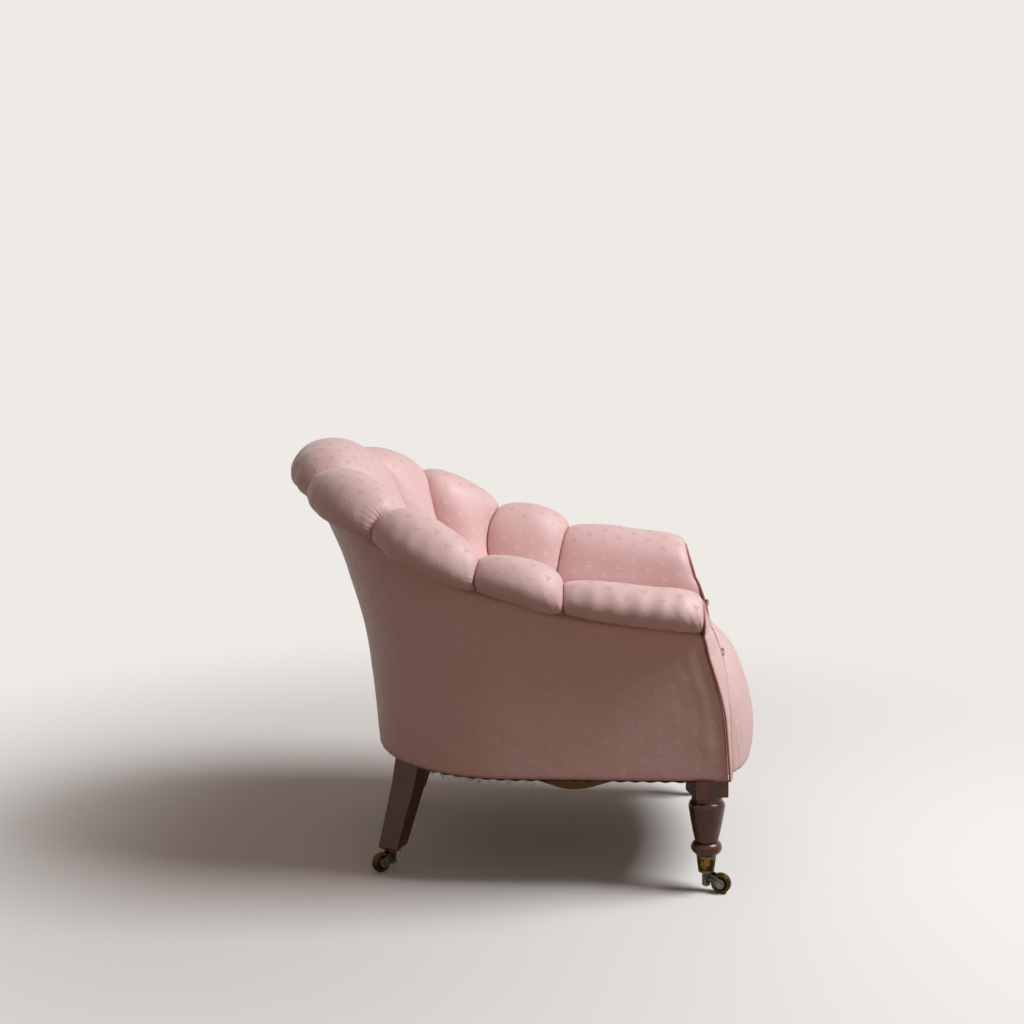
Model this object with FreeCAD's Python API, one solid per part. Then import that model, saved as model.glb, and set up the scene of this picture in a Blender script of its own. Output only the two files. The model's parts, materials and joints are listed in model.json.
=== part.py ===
"""Low shell chair of the 1870s type: an iron-framed tub back stuffed in nine channels that roll over
the top, a sprung seat with a bowed front, turned front legs and raked rear legs, all on brass casters.

Millimetres, +Z up, floor at Z = 0. The chair faces -Y. Left and right are those of a person sitting
in it, so left is +X. The origin is on the floor under the middle of the whole chair.
"""
import FreeCAD, Part
import math
import os

from FreeCAD import Vector

os.makedirs("parts", exist_ok=True)

# Clearances and cutting
SOFT_GAP = 0.4           # between two soft pieces, or a soft piece and what carries it
FIT_GAP = 0.2            # between a peg and its hole
RUN_GAP = 0.15           # between a pin and the bore that turns on it
SIDE_GAP = 0.4           # beside a wheel and above a swivelling head
SEAM_GAP = 0.6           # across the sewn seam between two channels
OVERRUN = 5.0            # how far a cutter runs past the piece it cuts
NUDGE_SHARE = 0.001      # step along a line for its direction there

# Shell: its outline at the sewn seams
SHELL_HALF_WIDTH = 305.0     # outermost line of the roll at the sides
SHELL_BACK = 372.0           # outermost line of the roll at the back
ARM_HALF_WIDTH = 298.0       # outermost line of the roll at the arm fronts
ARM_REACH = 293.0            # arm fronts, forward of the widest line
BACK_CREST = 672.0           # height of the seams over the top of the back
ARM_CREST = 473.0            # height of the seams over the arm fronts
SEAT_LINE = 348.0            # height at which the channels run in behind the seat
CHANNEL_PUFF = 31.0          # how far a full channel stands over its seams
CHANNEL_DEPTH = 18.0         # stuffing under a seam
LINING_THICKNESS = 3.0
LINING_TACK_IN = 14.0        # tacking line of the lining, in from the outer face of the rail

# Rows of the shell, from the seat up the inside, over the roll and down to the tacking line outside.
# half width, back, arm half width, arm reach, squareness, height at the back, height at the arm
# front, puff, depth: all but the squareness are shares of the sizes above.
ROW_SHARES = (
    (0.708, 0.338, 0.688, 0.956, 2.50, 0.000, 0.000, 0.39, 1.00),
    (0.741, 0.455, 0.695, 0.962, 2.50, 0.272, 0.352, 0.71, 1.00),
    (0.780, 0.596, 0.711, 0.969, 2.60, 0.568, 0.608, 0.87, 1.00),
    (0.820, 0.713, 0.742, 0.980, 2.40, 0.822, 0.816, 0.97, 0.90),
    (0.866, 0.787, 0.819, 0.990, 2.25, 0.935, 0.952, 1.00, 0.78),
    (0.925, 0.879, 0.909, 1.000, 2.15, 0.994, 1.000, 1.00, 0.67),
    (0.974, 0.962, 0.966, 1.000, 2.10, 0.984, 0.928, 1.00, 0.55),
    (1.000, 1.000, 1.000, 1.000, 2.10, 0.924, 0.816, 0.97, 0.45),
    (0.984, 0.987, 0.980, 1.000, 2.10, 0.877, 0.736, 0.68, 0.33),
    (0.944, 0.950, 0.946, 1.000, 2.10, 0.846, 0.672, 0.20, 0.22),
)
# Seams along the U of the shell: 0 is the middle of the back, 1 the widest line, 2 the arm front.
SEAM_SHARES = (0.245, 0.589, 0.898, 1.253, 2.0)
# How far the top has come down from the back towards the arm fronts, at the middle and each seam.
DROP_SHARES = (1.0, 0.91, 0.67, 0.33, 0.15, 0.0)
# Fullness of the channels, from the middle of the back to the arm front.
FULLNESS_SHARES = (1.0, 1.0, 1.0, 0.85, 0.62)
# Rounded cross-section of a channel: place across it and height of its face there.
CROSS_SHARES = ((-0.93, 0.39), (-0.72, 0.73), (0.0, 1.0), (0.72, 0.73), (0.93, 0.39))

# Outside cover
BASE_HALF_WIDTH = 270.0      # at the bottom edge, at the widest line
BASE_ARM_HALF_WIDTH = 266.0  # at the bottom edge, at the front
BASE_BACK = 249.0            # at the bottom edge, at the back
BASE_REACH = 337.0           # at the bottom edge, at the front
BASE_HEIGHT = 188.0          # underside of the frame and of the cover
COVER_THICKNESS = 3.0
COVER_TUCK = 2.5             # how far in the cover runs under the tacking line
COVER_DROP = 7.0             # how far down it starts
# Rows of the cover from the top to the bottom edge: half width, back, arm half width and arm reach
# as shares of the way from the bottom edge to the top, squareness, height shares at back and arm.
COVER_SHARES = (
    (1.00, 1.000, 1.00, 1.00, 2.10, 1.000, 1.000),
    (0.81, 0.712, 0.87, 0.91, 2.00, 0.800, 0.946),
    (0.63, 0.433, 0.73, 0.80, 2.10, 0.612, 0.854),
    (0.44, 0.250, 0.60, 0.50, 2.15, 0.460, 0.678),
    (0.19, 0.125, 0.33, 0.18, 2.20, 0.273, 0.427),
    (0.00, 0.000, 0.00, 0.00, 2.20, 0.000, 0.000),
)

# Seat frame
RAIL_THICKNESS = 28.0
RAIL_HEIGHT = 74.0
RAIL_BOW = 55.0              # how far the front rail is bowed
RAIL_JOINT = 1               # seam of the shell at which the back rail meets the side rails
BLOCK_WIDTH = 46.0           # front corner block
BLOCK_DEPTH = 49.0
POST_WIDTH = 28.0
POST_DEPTH = 34.0
POST_TOP_DEPTH = 28.0
POST_EASE = 7.0              # how much less the post leans back than the cover in front of it
POST_LEAN = BASE_REACH - ARM_REACH - POST_EASE
POST_FOOT_GAP = 3.55         # foot of the post, in from the inner face of the cover
POST_TOP_GAP = 1.65          # and its top
REAR_BLOCK = 50.0

# Iron frame in the back
ROD_DIAMETER = 12.0
ROD_SIDE_INSET = 25.0        # rod, in from the outermost line of the roll
ROD_BACK_INSET = 39.0
ROD_ARM_INSET = 31.0
ROD_SETBACK = 9.0            # end of the rod, behind the front of the arm
ROD_BACK_DROP = 33.0         # rod, below the crest
ROD_ARM_DROP = 29.0
ROD_HALF_WIDTH = SHELL_HALF_WIDTH - ROD_SIDE_INSET
ROD_BACK = SHELL_BACK - ROD_BACK_INSET
ROD_ARM_HALF_WIDTH = ARM_HALF_WIDTH - ROD_ARM_INSET
ROD_REACH = ARM_REACH - ROD_SETBACK
ROD_BACK_HEIGHT = BACK_CREST - ROD_BACK_DROP
ROD_ARM_HEIGHT = ARM_CREST - ROD_ARM_DROP
POST_DROP = 27.0             # top of the post, below the rod
POST_TOP = ROD_ARM_HEIGHT - POST_DROP
UPRIGHT_DIAMETER = 8.0
UPRIGHT_INSET = 8.0          # foot of an upright, in from the outer face of the rail
UPRIGHT_COVER_ROW = 4        # row of the cover and row of the shell that an upright passes between
UPRIGHT_SHELL_ROW = 2
ROLL_GAP = 6.0               # between the roll's core and the lining
ROLL_SAG = 20.0              # how far the core hangs under the rod
ROLL_ROWS = (8, 10, 13)      # rows of the shell that the core follows, over the crest
ROD_STATIONS = 12            # cross-sections of the rod and the roll on each side

# Seat
FRONT_INSET = 10.0           # end of the bow of the seat front, in from the cover
FRONT_HALF_WIDTH = BASE_ARM_HALF_WIDTH - FRONT_INSET
FRONT_CLIP_INSET = 28.0      # where the front roll ends beside the arm facings, in from the cover
FRONT_CLIP = BASE_ARM_HALF_WIDTH - FRONT_CLIP_INSET
FRONT_CLIP_BACK = 34.0       # how far forward of the widest line that end goes
FRONT_SETBACK = 17.0         # the widest line of the bow, behind the front of the cover
FRONT_CENTRE = BASE_REACH - FRONT_SETBACK
FRONT_DEPTH = 81.5           # how far the bow stands forward of it
FRONT_STUFFING = 24.0        # back of the front roll, behind that line
FRONT_START = FRONT_CENTRE - FRONT_STUFFING
FRONT_STEPS = 8              # spans of its outline round the bow
SEAT_SIDE_GAP = 16.94        # pad, in from the seams at the foot of the channels
SEAT_BACK_GAP = 12.9
SEAT_HALF_WIDTH = ROW_SHARES[0][0] * SHELL_HALF_WIDTH - SEAT_SIDE_GAP
SEAT_BACK = ROW_SHARES[0][1] * SHELL_BACK - SEAT_BACK_GAP
SEAT_RISE = 52.0             # crown of the seat over the line where the channels run in behind it
SEAT_TOP = SEAT_LINE + SEAT_RISE
SEAT_PAD_HEIGHT = 71.0
SEAT_UNDER = SEAT_TOP - SEAT_PAD_HEIGHT
FRONT_DROP = 16.0            # top of the front roll, below the crown
FRONT_TOP = SEAT_TOP - FRONT_DROP
FRONT_LIFT = 2.0             # its bottom edge, above the underside of the frame
FRONT_BOTTOM = BASE_HEIGHT + FRONT_LIFT
HESSIAN_THICKNESS = 1.6
# Front roll, level by level: height share, half width share and depth share.
FRONT_SHARES = (
    (0.00, 0.970, 0.93), (0.08, 1.000, 1.00), (0.44, 0.975, 0.97), (0.54, 0.910, 0.91),
    (0.65, 0.855, 0.82), (0.80, 0.820, 0.62), (0.94, 0.765, 0.28), (1.00, 0.720, 0.04),
)
# Seat pad from the back to the front: place as a share of its back or front reach, crown share.
SEAT_SHARES = (
    (0.97, 0.52), (0.90, 0.70), (0.78, 0.83), (0.58, 0.92), (0.25, 0.98), (-0.35, 1.0), (-1.0, 0.78),
)
SEAT_SIDE_SHARE = 0.55       # height of the pad's side, as a share of its crown
SEAT_SHOULDER_SHARES = (0.62, 0.93)  # a point on the crown: place across it and height share

# Springs and webbing
SPRING_WIRE = 4.0
SPRING_END_RADIUS = 42.0
SPRING_WAIST_RADIUS = 27.0
SPRING_TURNS = 5
SPRING_PITCH_X = 125.0
SPRING_PITCH_Y = 128.0
SPRING_CENTRE_Y = -82.0
WEB_WIDTH = 50.0
WEB_THICKNESS = 1.4
CLOTH_THICKNESS = 1.5
CLOTH_SAG = 24.0
CLOTH_INSET = 5.0
# Bottom cloth: how far in from its edge, as a share of its half width, and share of the sag there.
CLOTH_SHARES = ((0.0, 0.0), (0.11, 0.38), (0.29, 0.72), (0.56, 0.95), (0.81, 1.0))

# Arm facings and their piping
FACING_TURN_SHARE = 0.33     # how far the inner edge stands forward, as a share of the width
FACING_BLEND_POWER = 4       # how sharply that gives way to a share of the height left above it
FACING_EDGE = 4.0            # thickness along the edges
FACING_BULGE = 7.0           # how far a wide facing swells in the middle
FACING_MARGIN = 4.0          # how far it stands over the end of the roll
FACING_GAP = 0.9             # between the end of the arm and the facing
FACING_WIDTH = 54.0          # at the seat line
# Below the seat line: height share from the base, and width there as a share of FACING_WIDTH.
FACING_SHARES = ((0.0, 0.24), (0.24, 0.31), (0.48, 0.41), (0.70, 0.54), (0.86, 0.76), (1.0, 1.0))
FACING_LEVELS = 22
PIPING_DIAMETER = 6.4
PIPING_GAP = 0.7             # between the piping and the facing that it edges

# Front legs
LEG_INSET = 26.0             # middle of the leg, in from the cover beside it
LEG_SETBACK = 32.0           # and behind the front of the cover
LEG_X = BASE_ARM_HALF_WIDTH - LEG_INSET
LEG_Y = LEG_SETBACK - BASE_REACH
LEG_TURN = 15.0              # degrees that the square is turned outwards
SQUARE_SIZE = 54.0
SQUARE_HEIGHT = 28.0
VASE_DIAMETER = 58.5
VASE_FOOT_DIAMETER = 39.0
RING_DIAMETER = 50.0
NECK_DIAMETER = 49.0
ANKLE_DIAMETER = 34.0
NECK_LENGTH = 10.0
VASE_SHOULDER_HEIGHT = 11.0
VASE_TOP_HEIGHT = BASE_HEIGHT - SQUARE_HEIGHT - NECK_LENGTH
VASE_WIDEST_HEIGHT = VASE_TOP_HEIGHT - VASE_SHOULDER_HEIGHT
VASE_FOOT_HEIGHT = 86.0
VASE_SHOULDER_SHARES = (0.8, 0.4)    # a point between neck and widest: out and down
VASE_TAPER_SHARES = (0.56, 0.5)      # a point between foot and widest: out and up
RING_HEIGHT = 72.5
RING_WIDTH = 21.0
CUP_TOP_HEIGHT = 60.0
CUP_FLOOR_HEIGHT = 32.0
CUP_TOP_DIAMETER = 32.4
CUP_FLOOR_DIAMETER = 25.4
CUP_WALL = 1.6
CUP_BASE = 2.4
PEG_DIAMETER = 28.0
PEG_LENGTH = 55.0

# Rear legs
REAR_INSET_X = 120.0         # top of the leg, in from the widest line of the cover
REAR_INSET_Y = 72.0          # and in from the back of the cover
REAR_SPLAY = 14.0            # how far out its foot goes
REAR_RAKE = 35.0             # how far back its foot goes
REAR_TOP_X = BASE_HALF_WIDTH - REAR_INSET_X
REAR_TOP_Y = BASE_BACK - REAR_INSET_Y
REAR_FOOT_X = REAR_TOP_X + REAR_SPLAY
REAR_FOOT_Y = REAR_TOP_Y + REAR_RAKE
REAR_TURN = 24.0
REAR_TOP_SIZE = 45.0
REAR_FOOT_SIZE = 35.0
REAR_ROUNDING = 4.0
REAR_PEG_DIAMETER = 24.0
# Sweep of the leg: share of the way down, and share of the way back that it has gone there.
REAR_SWEEP_SHARES = ((0.0, 0.0), (0.3, 0.24), (0.65, 0.62), (1.0, 1.0))
PLATE_DIAMETER = 27.0
PLATE_THICKNESS = 2.2

# Casters
WHEEL_DIAMETER = 32.0
WHEEL_WIDTH = 12.0
WHEEL_TREAD_ROUNDING = 2.5
WHEEL_DISH = 1.8
WHEEL_RIM = 4.0
WHEEL_HUB_DIAMETER = 13.0
TRAIL = 25.0
BOSS_DIAMETER = 13.0
BOSS_LENGTH = 22.0
STUD_DIAMETER = 6.0
STUD_TENON_DIAMETER = 4.0
STUD_HEAD_DIAMETER = 9.5
STUD_HEAD_HEIGHT = 2.4
AXLE_DIAMETER = 5.0
AXLE_HEAD_DIAMETER = 8.0
AXLE_HEAD_HEIGHT = 1.4
CHEEK_THICKNESS = 2.8
CHEEK_FOOT_DIAMETER = 15.0
CHEEK_TOP_DIAMETER = 9.6
YOKE_REACH = 8.4             # how far the yoke comes forward of the pivot before it meets the wheel
YOKE_HEIGHT = 9.6
SCREW_HEAD_DIAMETER = 6.4
SCREW_HEAD_HEIGHT = 1.5
SCREW_SHANK_DIAMETER = 3.2
SCREW_LENGTH = 12.0
SCREW_SLOT_WIDTH = 0.9
SCREW_SLOT_DEPTH = 0.7
CUP_SCREW_HEIGHT = 50.0
PLATE_SCREW_CIRCLE_SHARE = 0.66
PLATE_SCREWS = 3
SLOT_TURN = 35.0             # degrees between one screw slot and the next
# The way each wheel trails at rest, in degrees from +X towards +Y.
FRONT_LEFT_HEADING = 285.0
FRONT_RIGHT_HEADING = 249.0
REAR_LEFT_HEADING = 64.0
REAR_RIGHT_HEADING = 136.0

STRAIGHT_SHARE = 0.0001      # rise over length below which an arc is drawn as a line

UP = Vector(0, 0, 1)
ACROSS = Vector(1, 0, 0)
ORIGIN = Vector(0, 0, 0)


def export(name, shape):
    """Write one piece, or one group of like pieces, to its own file."""
    for solid in shape.Solids:
        if not solid.isValid():
            print("not valid:", name)
    if not shape.Solids:
        print("no solid:", name)
    shape.exportStep("parts/" + name + ".step")
    print(name, len(shape.Solids), "volume", round(shape.Volume))


def arc(start, through, end):
    """Arc through three points, or the straight line where they lie in line."""
    if (through - start).cross(end - start).Length < STRAIGHT_SHARE * (end - start).Length ** 2:
        return line(start, end)
    return Part.Arc(start, through, end).toShape()


def line(start, end):
    return Part.LineSegment(start, end).toShape()


def chain(points):
    """A chain of arcs through points: each takes its start, one point on the way and its end."""
    return [arc(points[i], points[i + 1], points[i + 2]) for i in range(0, len(points) - 2, 2)]


def middle(start, run, end):
    """Middle of the arc that leaves the start along a run and reaches the end."""
    chord = end - start
    across = run - chord * (run.dot(chord) / chord.dot(chord))
    if across.Length < STRAIGHT_SHARE:
        return start + chord / 2
    return start + chord / 2 + across.normalize() * (chord.Length / 2 * math.tan(run.getAngle(chord) / 2))


def biarc(start, run, end, end_run):
    """Two arcs that meet smoothly, from a point and direction to another point and direction."""
    chord = end - start
    both = chord.dot(run + end_run)
    apart = 2 * (1 - run.dot(end_run))
    reach = chord.dot(chord) / (math.sqrt(both ** 2 + apart * chord.dot(chord)) + both)
    joint = (start + end + (run - end_run) * reach) / 2
    return [arc(start, middle(start, run, joint), joint), arc(joint, middle(end, -end_run, joint), end)]


def swept(edges, radius, start, run):
    """Round wire or cord along a chain of edges."""
    ring = Part.Wire(Part.makeCircle(radius, start, run))
    return Part.Wire(edges).makePipeShell([ring], True, False)


def tube(centres, radius):
    """Round cord through points, on arcs that meet smoothly."""
    last = len(centres) - 1
    runs = []
    for index in range(last + 1):
        runs.append((centres[min(index + 1, last)] - centres[max(index - 1, 0)]).normalize())
    edges = []
    for index in range(last):
        edges += biarc(centres[index], runs[index], centres[index + 1], runs[index + 1])
    return swept(edges, radius, centres[0], runs[0])


def closed_solid(faces):
    """Solid inside faces that share their edges."""
    shell = Part.Shell(faces)
    shell.sewShape()
    solid = Part.Solid(shell)
    if solid.Volume < 0:
        solid.reverse()
    return solid


def polygon(points):
    return Part.Wire([line(start, end) for start, end in zip(points, points[1:] + points[:1])])


def ruled_faces(first, second):
    return [Part.makeRuledSurface(one, other) for one, other in zip(first, second)]


def walled(fronts, backs):
    """Solid between two sheets, each given line by line as the points of a chain of arcs."""
    faces = []
    for lines, next_lines in zip(zip(fronts, backs), zip(fronts[1:], backs[1:])):
        for points, next_points in zip(lines, next_lines):
            faces += ruled_faces(chain(points), chain(next_points))
        for end in (0, -1):
            here = line(lines[0][end], lines[1][end])
            faces += ruled_faces([here], [line(next_lines[0][end], next_lines[1][end])])
    for front, back in ((fronts[0], backs[0]), (fronts[-1], backs[-1])):
        faces += ruled_faces(chain(front), chain(back))
    return closed_solid(faces)


def loft(wires, ruled=False):
    solid = Part.makeLoft(wires, True, ruled)
    if solid.Volume < 0:
        solid.reverse()
    return solid


def mirror_x(shape):
    return shape.mirror(ORIGIN, ACROSS)


def between(low, high, share):
    return low + (high - low) * share


def smooth_table(places, values, place):
    """Value at a place, from a table, along a curve that never overshoots the table."""
    if place <= places[0]:
        return values[0]
    if place >= places[-1]:
        return values[-1]
    last = len(places) - 1
    rises = [(values[i + 1] - values[i]) / (places[i + 1] - places[i]) for i in range(last)]
    slopes = [0.0] * (last + 1)
    slopes[last] = rises[-1]
    for i in range(1, last):
        if rises[i - 1] * rises[i] > 0:
            slopes[i] = 2 * rises[i - 1] * rises[i] / (rises[i - 1] + rises[i])
    for i in range(last):
        if place <= places[i + 1]:
            step = places[i + 1] - places[i]
            t = (place - places[i]) / step
            bend = (t**3 - 2 * t**2 + t) * slopes[i] + (t**3 - t**2) * slopes[i + 1]
            return values[i] + (values[i + 1] - values[i]) * (3 * t**2 - 2 * t**3) + step * bend


class Row:
    """One line round the shell, shaped like a U: rounded at the back, nearly straight along the arms."""

    def __init__(self, half_width, back, arm_half_width, reach, squareness, back_height, arm_height):
        self.half_width = half_width
        self.back = back
        self.arm_half_width = arm_half_width
        self.reach = reach
        self.squareness = squareness
        self.back_height = back_height
        self.arm_height = arm_height

    def inset(self, distance, drop=0):
        """The same line further in, by the same distance all round."""
        return Row(self.half_width - distance, self.back - distance, self.arm_half_width - distance,
                   self.reach, self.squareness, self.back_height - drop, self.arm_height - drop)

    def at(self, place):
        """Point on the line: 0 is the middle of the back, 1 the widest line, 2 the arm front."""
        along = abs(place)
        if along <= 1:
            turn = along * math.pi / 2
            x = self.half_width * math.sin(turn) ** (2 / self.squareness)
            y = self.back * max(0.0, math.cos(turn)) ** (2 / self.squareness)
        else:
            x = between(self.half_width, self.arm_half_width, (along - 1) ** 2)
            y = -self.reach * (along - 1)
        drop = smooth_table((0.0,) + SEAM_SHARES, DROP_SHARES, along)
        z = between(self.arm_height, self.back_height, drop)
        return Vector(math.copysign(x, place), y, z)


def refined(table):
    """The rows of a table with one more row between each pair, on a smooth curve through them."""
    rows = []
    last = len(table) - 1
    for index in range(last):
        before, here, after, beyond = (table[min(max(index + i, 0), last)] for i in (-1, 0, 1, 2))
        rows.append(here)
        rows.append(tuple((9 * (b + c) - a - d) / 16 for a, b, c, d in zip(before, here, after, beyond)))
    return rows + [table[last]]


def shell_rows():
    rows = []
    for width, back, arm, reach, squareness, high, low, puff, depth in refined(ROW_SHARES):
        row = Row(SHELL_HALF_WIDTH * width, SHELL_BACK * back, ARM_HALF_WIDTH * arm,
                  ARM_REACH * reach, squareness, between(SEAT_LINE, BACK_CREST, high),
                  between(SEAT_LINE, ARM_CREST, low))
        row.puff = CHANNEL_PUFF * puff
        row.depth = CHANNEL_DEPTH * depth
        rows.append(row)
    return rows


def cover_rows():
    tack = SHELL[-1]
    top_width = tack.half_width - COVER_TUCK
    top_back = tack.back - COVER_TUCK
    top_arm = tack.arm_half_width - COVER_TUCK
    top_back_height = tack.back_height - COVER_DROP
    top_arm_height = tack.arm_height - COVER_DROP
    rows = []
    for width, back, arm, reach, squareness, high, low in refined(COVER_SHARES):
        rows.append(Row(between(BASE_HALF_WIDTH, top_width, width), between(BASE_BACK, top_back, back),
                        between(BASE_ARM_HALF_WIDTH, top_arm, arm),
                        between(BASE_REACH, tack.reach, reach), squareness,
                        between(BASE_HEIGHT, top_back_height, high),
                        between(BASE_HEIGHT, top_arm_height, low)))
    return rows


SHELL = shell_rows()
COVER = cover_rows()
RAIL_LINE = COVER[-1].inset(COVER_THICKNESS + SOFT_GAP)
RAIL_TOP = BASE_HEIGHT + RAIL_HEIGHT


def facing_out(index, place):
    """Direction out of the stuffing, square to the shell, at one row and place."""
    low = SHELL[max(index - 1, 0)]
    high = SHELL[min(index + 1, len(SHELL) - 1)]
    row = SHELL[index]
    side = min(max(place, NUDGE_SHARE - SEAM_SHARES[-1]), SEAM_SHARES[-1] - NUDGE_SHARE)
    along = row.at(side + NUDGE_SHARE) - row.at(side - NUDGE_SHARE)
    rising = high.at(place) - low.at(place)
    return along.cross(rising).normalize()


def raised(index, place, height):
    return SHELL[index].at(place) + facing_out(index, place) * height


def arc_points(start, through, end, across_shares):
    """Points on one arc, placed across it from -1 at the start to 1 at the end."""
    curve = Part.Arc(start, through, end)
    first, last = curve.FirstParameter, curve.LastParameter
    return [curve.value(between(first, last, (across + 1) / 2)) for across in across_shares]


def channel(start, end, fullness):
    """One stuffed channel from behind the seat, up the inside, over the roll and under to its tacks."""
    middle = (start + end) / 2
    half = (end - start) / 2
    across_shares = [-1.0] + [across for across, _ in CROSS_SHARES] + [1.0]
    fronts = []
    backs = []
    for index, row in enumerate(SHELL):
        front = [row.at(start)]
        for across, height in CROSS_SHARES:
            front.append(raised(index, middle + half * across, row.puff * fullness * height))
        front.append(row.at(end))
        gap = (front[-1] - front[0]).normalize() * (SEAM_GAP / 2)
        front[0] += gap
        front[-1] -= gap
        back = arc_points(raised(index, start, -row.depth) + gap, raised(index, middle, -row.depth),
                          raised(index, end, -row.depth) - gap, across_shares)
        fronts.append(front)
        backs.append(back)
    return walled(fronts, backs)


def seam_places(seams):
    """Places along the U: each of the given seams, and the middle between each pair."""
    places = []
    for start, end in zip(seams, seams[1:]):
        places += [start, (start + end) / 2]
    return places + [seams[-1]]


def spans():
    """Places along the U at every seam and the middle between each pair, from arm to arm."""
    return seam_places([-place for place in reversed(SEAM_SHARES)] + list(SEAM_SHARES))


def u_wire(outer, inner):
    """Closed U-shaped wire between two lists of points that run the same way."""
    edges = chain(outer) + [line(outer[-1], inner[-1])] + chain(inner[::-1])
    return Part.Wire(edges + [line(inner[0], outer[0])])


def back_lining():
    """Hessian under the channels, tacked to the top of the seat rails and carried over the roll."""
    foot = RAIL_LINE.inset(LINING_TACK_IN)
    foot.reach = SHELL[0].reach
    foot.back_height = foot.arm_height = RAIL_TOP + SOFT_GAP
    inside = foot.inset(LINING_THICKNESS)
    places = spans()
    backs = [[foot.at(place) for place in places]]
    fronts = [[inside.at(place) for place in places]]
    for index, row in enumerate(SHELL):
        near = row.depth + SOFT_GAP
        fronts.append([raised(index, place, -near) for place in places])
        backs.append([raised(index, place, -near - LINING_THICKNESS) for place in places])
    return walled(fronts, backs)


def rod_line():
    return Row(ROD_HALF_WIDTH, ROD_BACK, ROD_ARM_HALF_WIDTH, ROD_REACH, SHELL[-1].squareness,
               ROD_BACK_HEIGHT, ROD_ARM_HEIGHT)


def rod_places():
    end = SEAM_SHARES[-1]
    return [end * (i - ROD_STATIONS) / ROD_STATIONS for i in range(2 * ROD_STATIONS + 1)]


def iron_top_rod():
    """Round iron bent to the line of the roll, from one arm front to the other."""
    row = rod_line()
    wires = []
    for place in rod_places():
        ahead = row.at(min(place + NUDGE_SHARE, SEAM_SHARES[-1]))
        behind = row.at(max(place - NUDGE_SHARE, -SEAM_SHARES[-1]))
        wires.append(Part.Wire(Part.makeCircle(ROD_DIAMETER / 2, row.at(place), ahead - behind)))
    return loft(wires)


def iron_uprights():
    """Bent irons from the seat rails to the top rod, one at each seam, between lining and cover."""
    rod = iron_top_rod()
    foot = RAIL_LINE.inset(UPRIGHT_INSET)
    foot.back_height = foot.arm_height = RAIL_TOP - UPRIGHT_DIAMETER
    cover = COVER[UPRIGHT_COVER_ROW].inset(COVER_THICKNESS)
    size = 2 * SHELL_BACK
    above = Part.makeBox(2 * size, 2 * size, size, Vector(-size, -size, RAIL_TOP))
    rods = []
    for place in SEAM_SHARES[:-1]:
        start = foot.at(place)
        end = rod_line().at(place)
        lining = raised(UPRIGHT_SHELL_ROW, place, -SHELL[UPRIGHT_SHELL_ROW].depth - LINING_THICKNESS)
        path = arc(start, (cover.at(place) + lining) / 2, end)
        ring = Part.Wire(Part.makeCircle(UPRIGHT_DIAMETER / 2, start, path.tangentAt(path.FirstParameter)))
        iron = Part.Wire([path]).makePipeShell([ring], True, False).common(above).cut(rod)
        iron = max(iron.Solids, key=lambda solid: solid.Volume)
        rods += [iron, mirror_x(iron)]
    return Part.makeCompound(rods)


def roll_stuffing():
    """Firm core of the roll round the top rod."""
    rod = rod_line()
    rings = []
    for place in rod_places():
        points = []
        for index in ROLL_ROWS:
            under = SHELL[index].depth + SOFT_GAP + LINING_THICKNESS + ROLL_GAP
            points.append(raised(index, place, -under))
        points.append(rod.at(place) - UP * ROLL_SAG)
        if abs(place) == SEAM_SHARES[-1]:
            points = [Vector(point.x, -rod.reach, point.z) for point in points]
        top = chain(points[:-1])
        rings.append(top + [line(points[-2], points[-1]), line(points[-1], points[0])])
    faces = [Part.Face(Part.Wire(rings[0])), Part.Face(Part.Wire(rings[-1]))]
    for ring, next_ring in zip(rings, rings[1:]):
        faces += ruled_faces(ring, next_ring)
    return closed_solid(faces).cut(iron_top_rod()).cut(iron_uprights())


def outside_cover(side):
    """Half of the cloth on the outside, from the middle of the back to the arm front."""
    places = seam_places((0.0,) + SEAM_SHARES)
    seam = ACROSS * (SEAM_GAP / 2)
    outsides = []
    insides = []
    for row in COVER:
        for lines, cloth in ((outsides, row), (insides, row.inset(COVER_THICKNESS))):
            points = [cloth.at(place) for place in places]
            points[0] += seam
            lines.append(points)
    half = walled(outsides, insides)
    return half if side > 0 else mirror_x(half)


def rail_piece(places, height):
    """Length of rail that follows the base, between two places along the U."""
    outer = RAIL_LINE
    inner = RAIL_LINE.inset(RAIL_THICKNESS)
    wire = u_wire([outer.at(place) for place in places], [inner.at(place) for place in places])
    return Part.Face(wire).extrude(UP * height)


def even(start, end, count):
    return [between(start, end, i / count) for i in range(count + 1)]


def block_front():
    """Front and outer face of the front corner blocks."""
    return LEG_Y - BLOCK_DEPTH / 2, RAIL_LINE.arm_half_width


def front_block():
    front, outer = block_front()
    block = Part.makeBox(BLOCK_WIDTH, BLOCK_DEPTH, RAIL_HEIGHT,
                         Vector(outer - BLOCK_WIDTH, front, BASE_HEIGHT))
    hole = Part.makeCylinder(PEG_DIAMETER / 2 + FIT_GAP, PEG_LENGTH + FIT_GAP,
                             Vector(LEG_X, LEG_Y, BASE_HEIGHT))
    return block.cut(hole)


def side_rail(side):
    """Side rail from the back rail to the front corner block."""
    front, _ = block_front()
    end = 1 - (front + BLOCK_DEPTH) / RAIL_LINE.reach
    seams = SEAM_SHARES[RAIL_JOINT:-1] + (end,)
    rail = rail_piece(seam_places(seams), RAIL_HEIGHT)
    return rail if side > 0 else mirror_x(rail)


def back_rail():
    """Rail round the back, notched for the two blocks over the rear legs."""
    seams = SEAM_SHARES[:RAIL_JOINT + 1]
    rail = rail_piece(seam_places([-seam for seam in reversed(seams)] + [0.0] + list(seams)), RAIL_HEIGHT)
    notch = rear_block_body(REAR_BLOCK, 2 * RAIL_HEIGHT)
    return rail.cut(notch).cut(mirror_x(notch))


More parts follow.
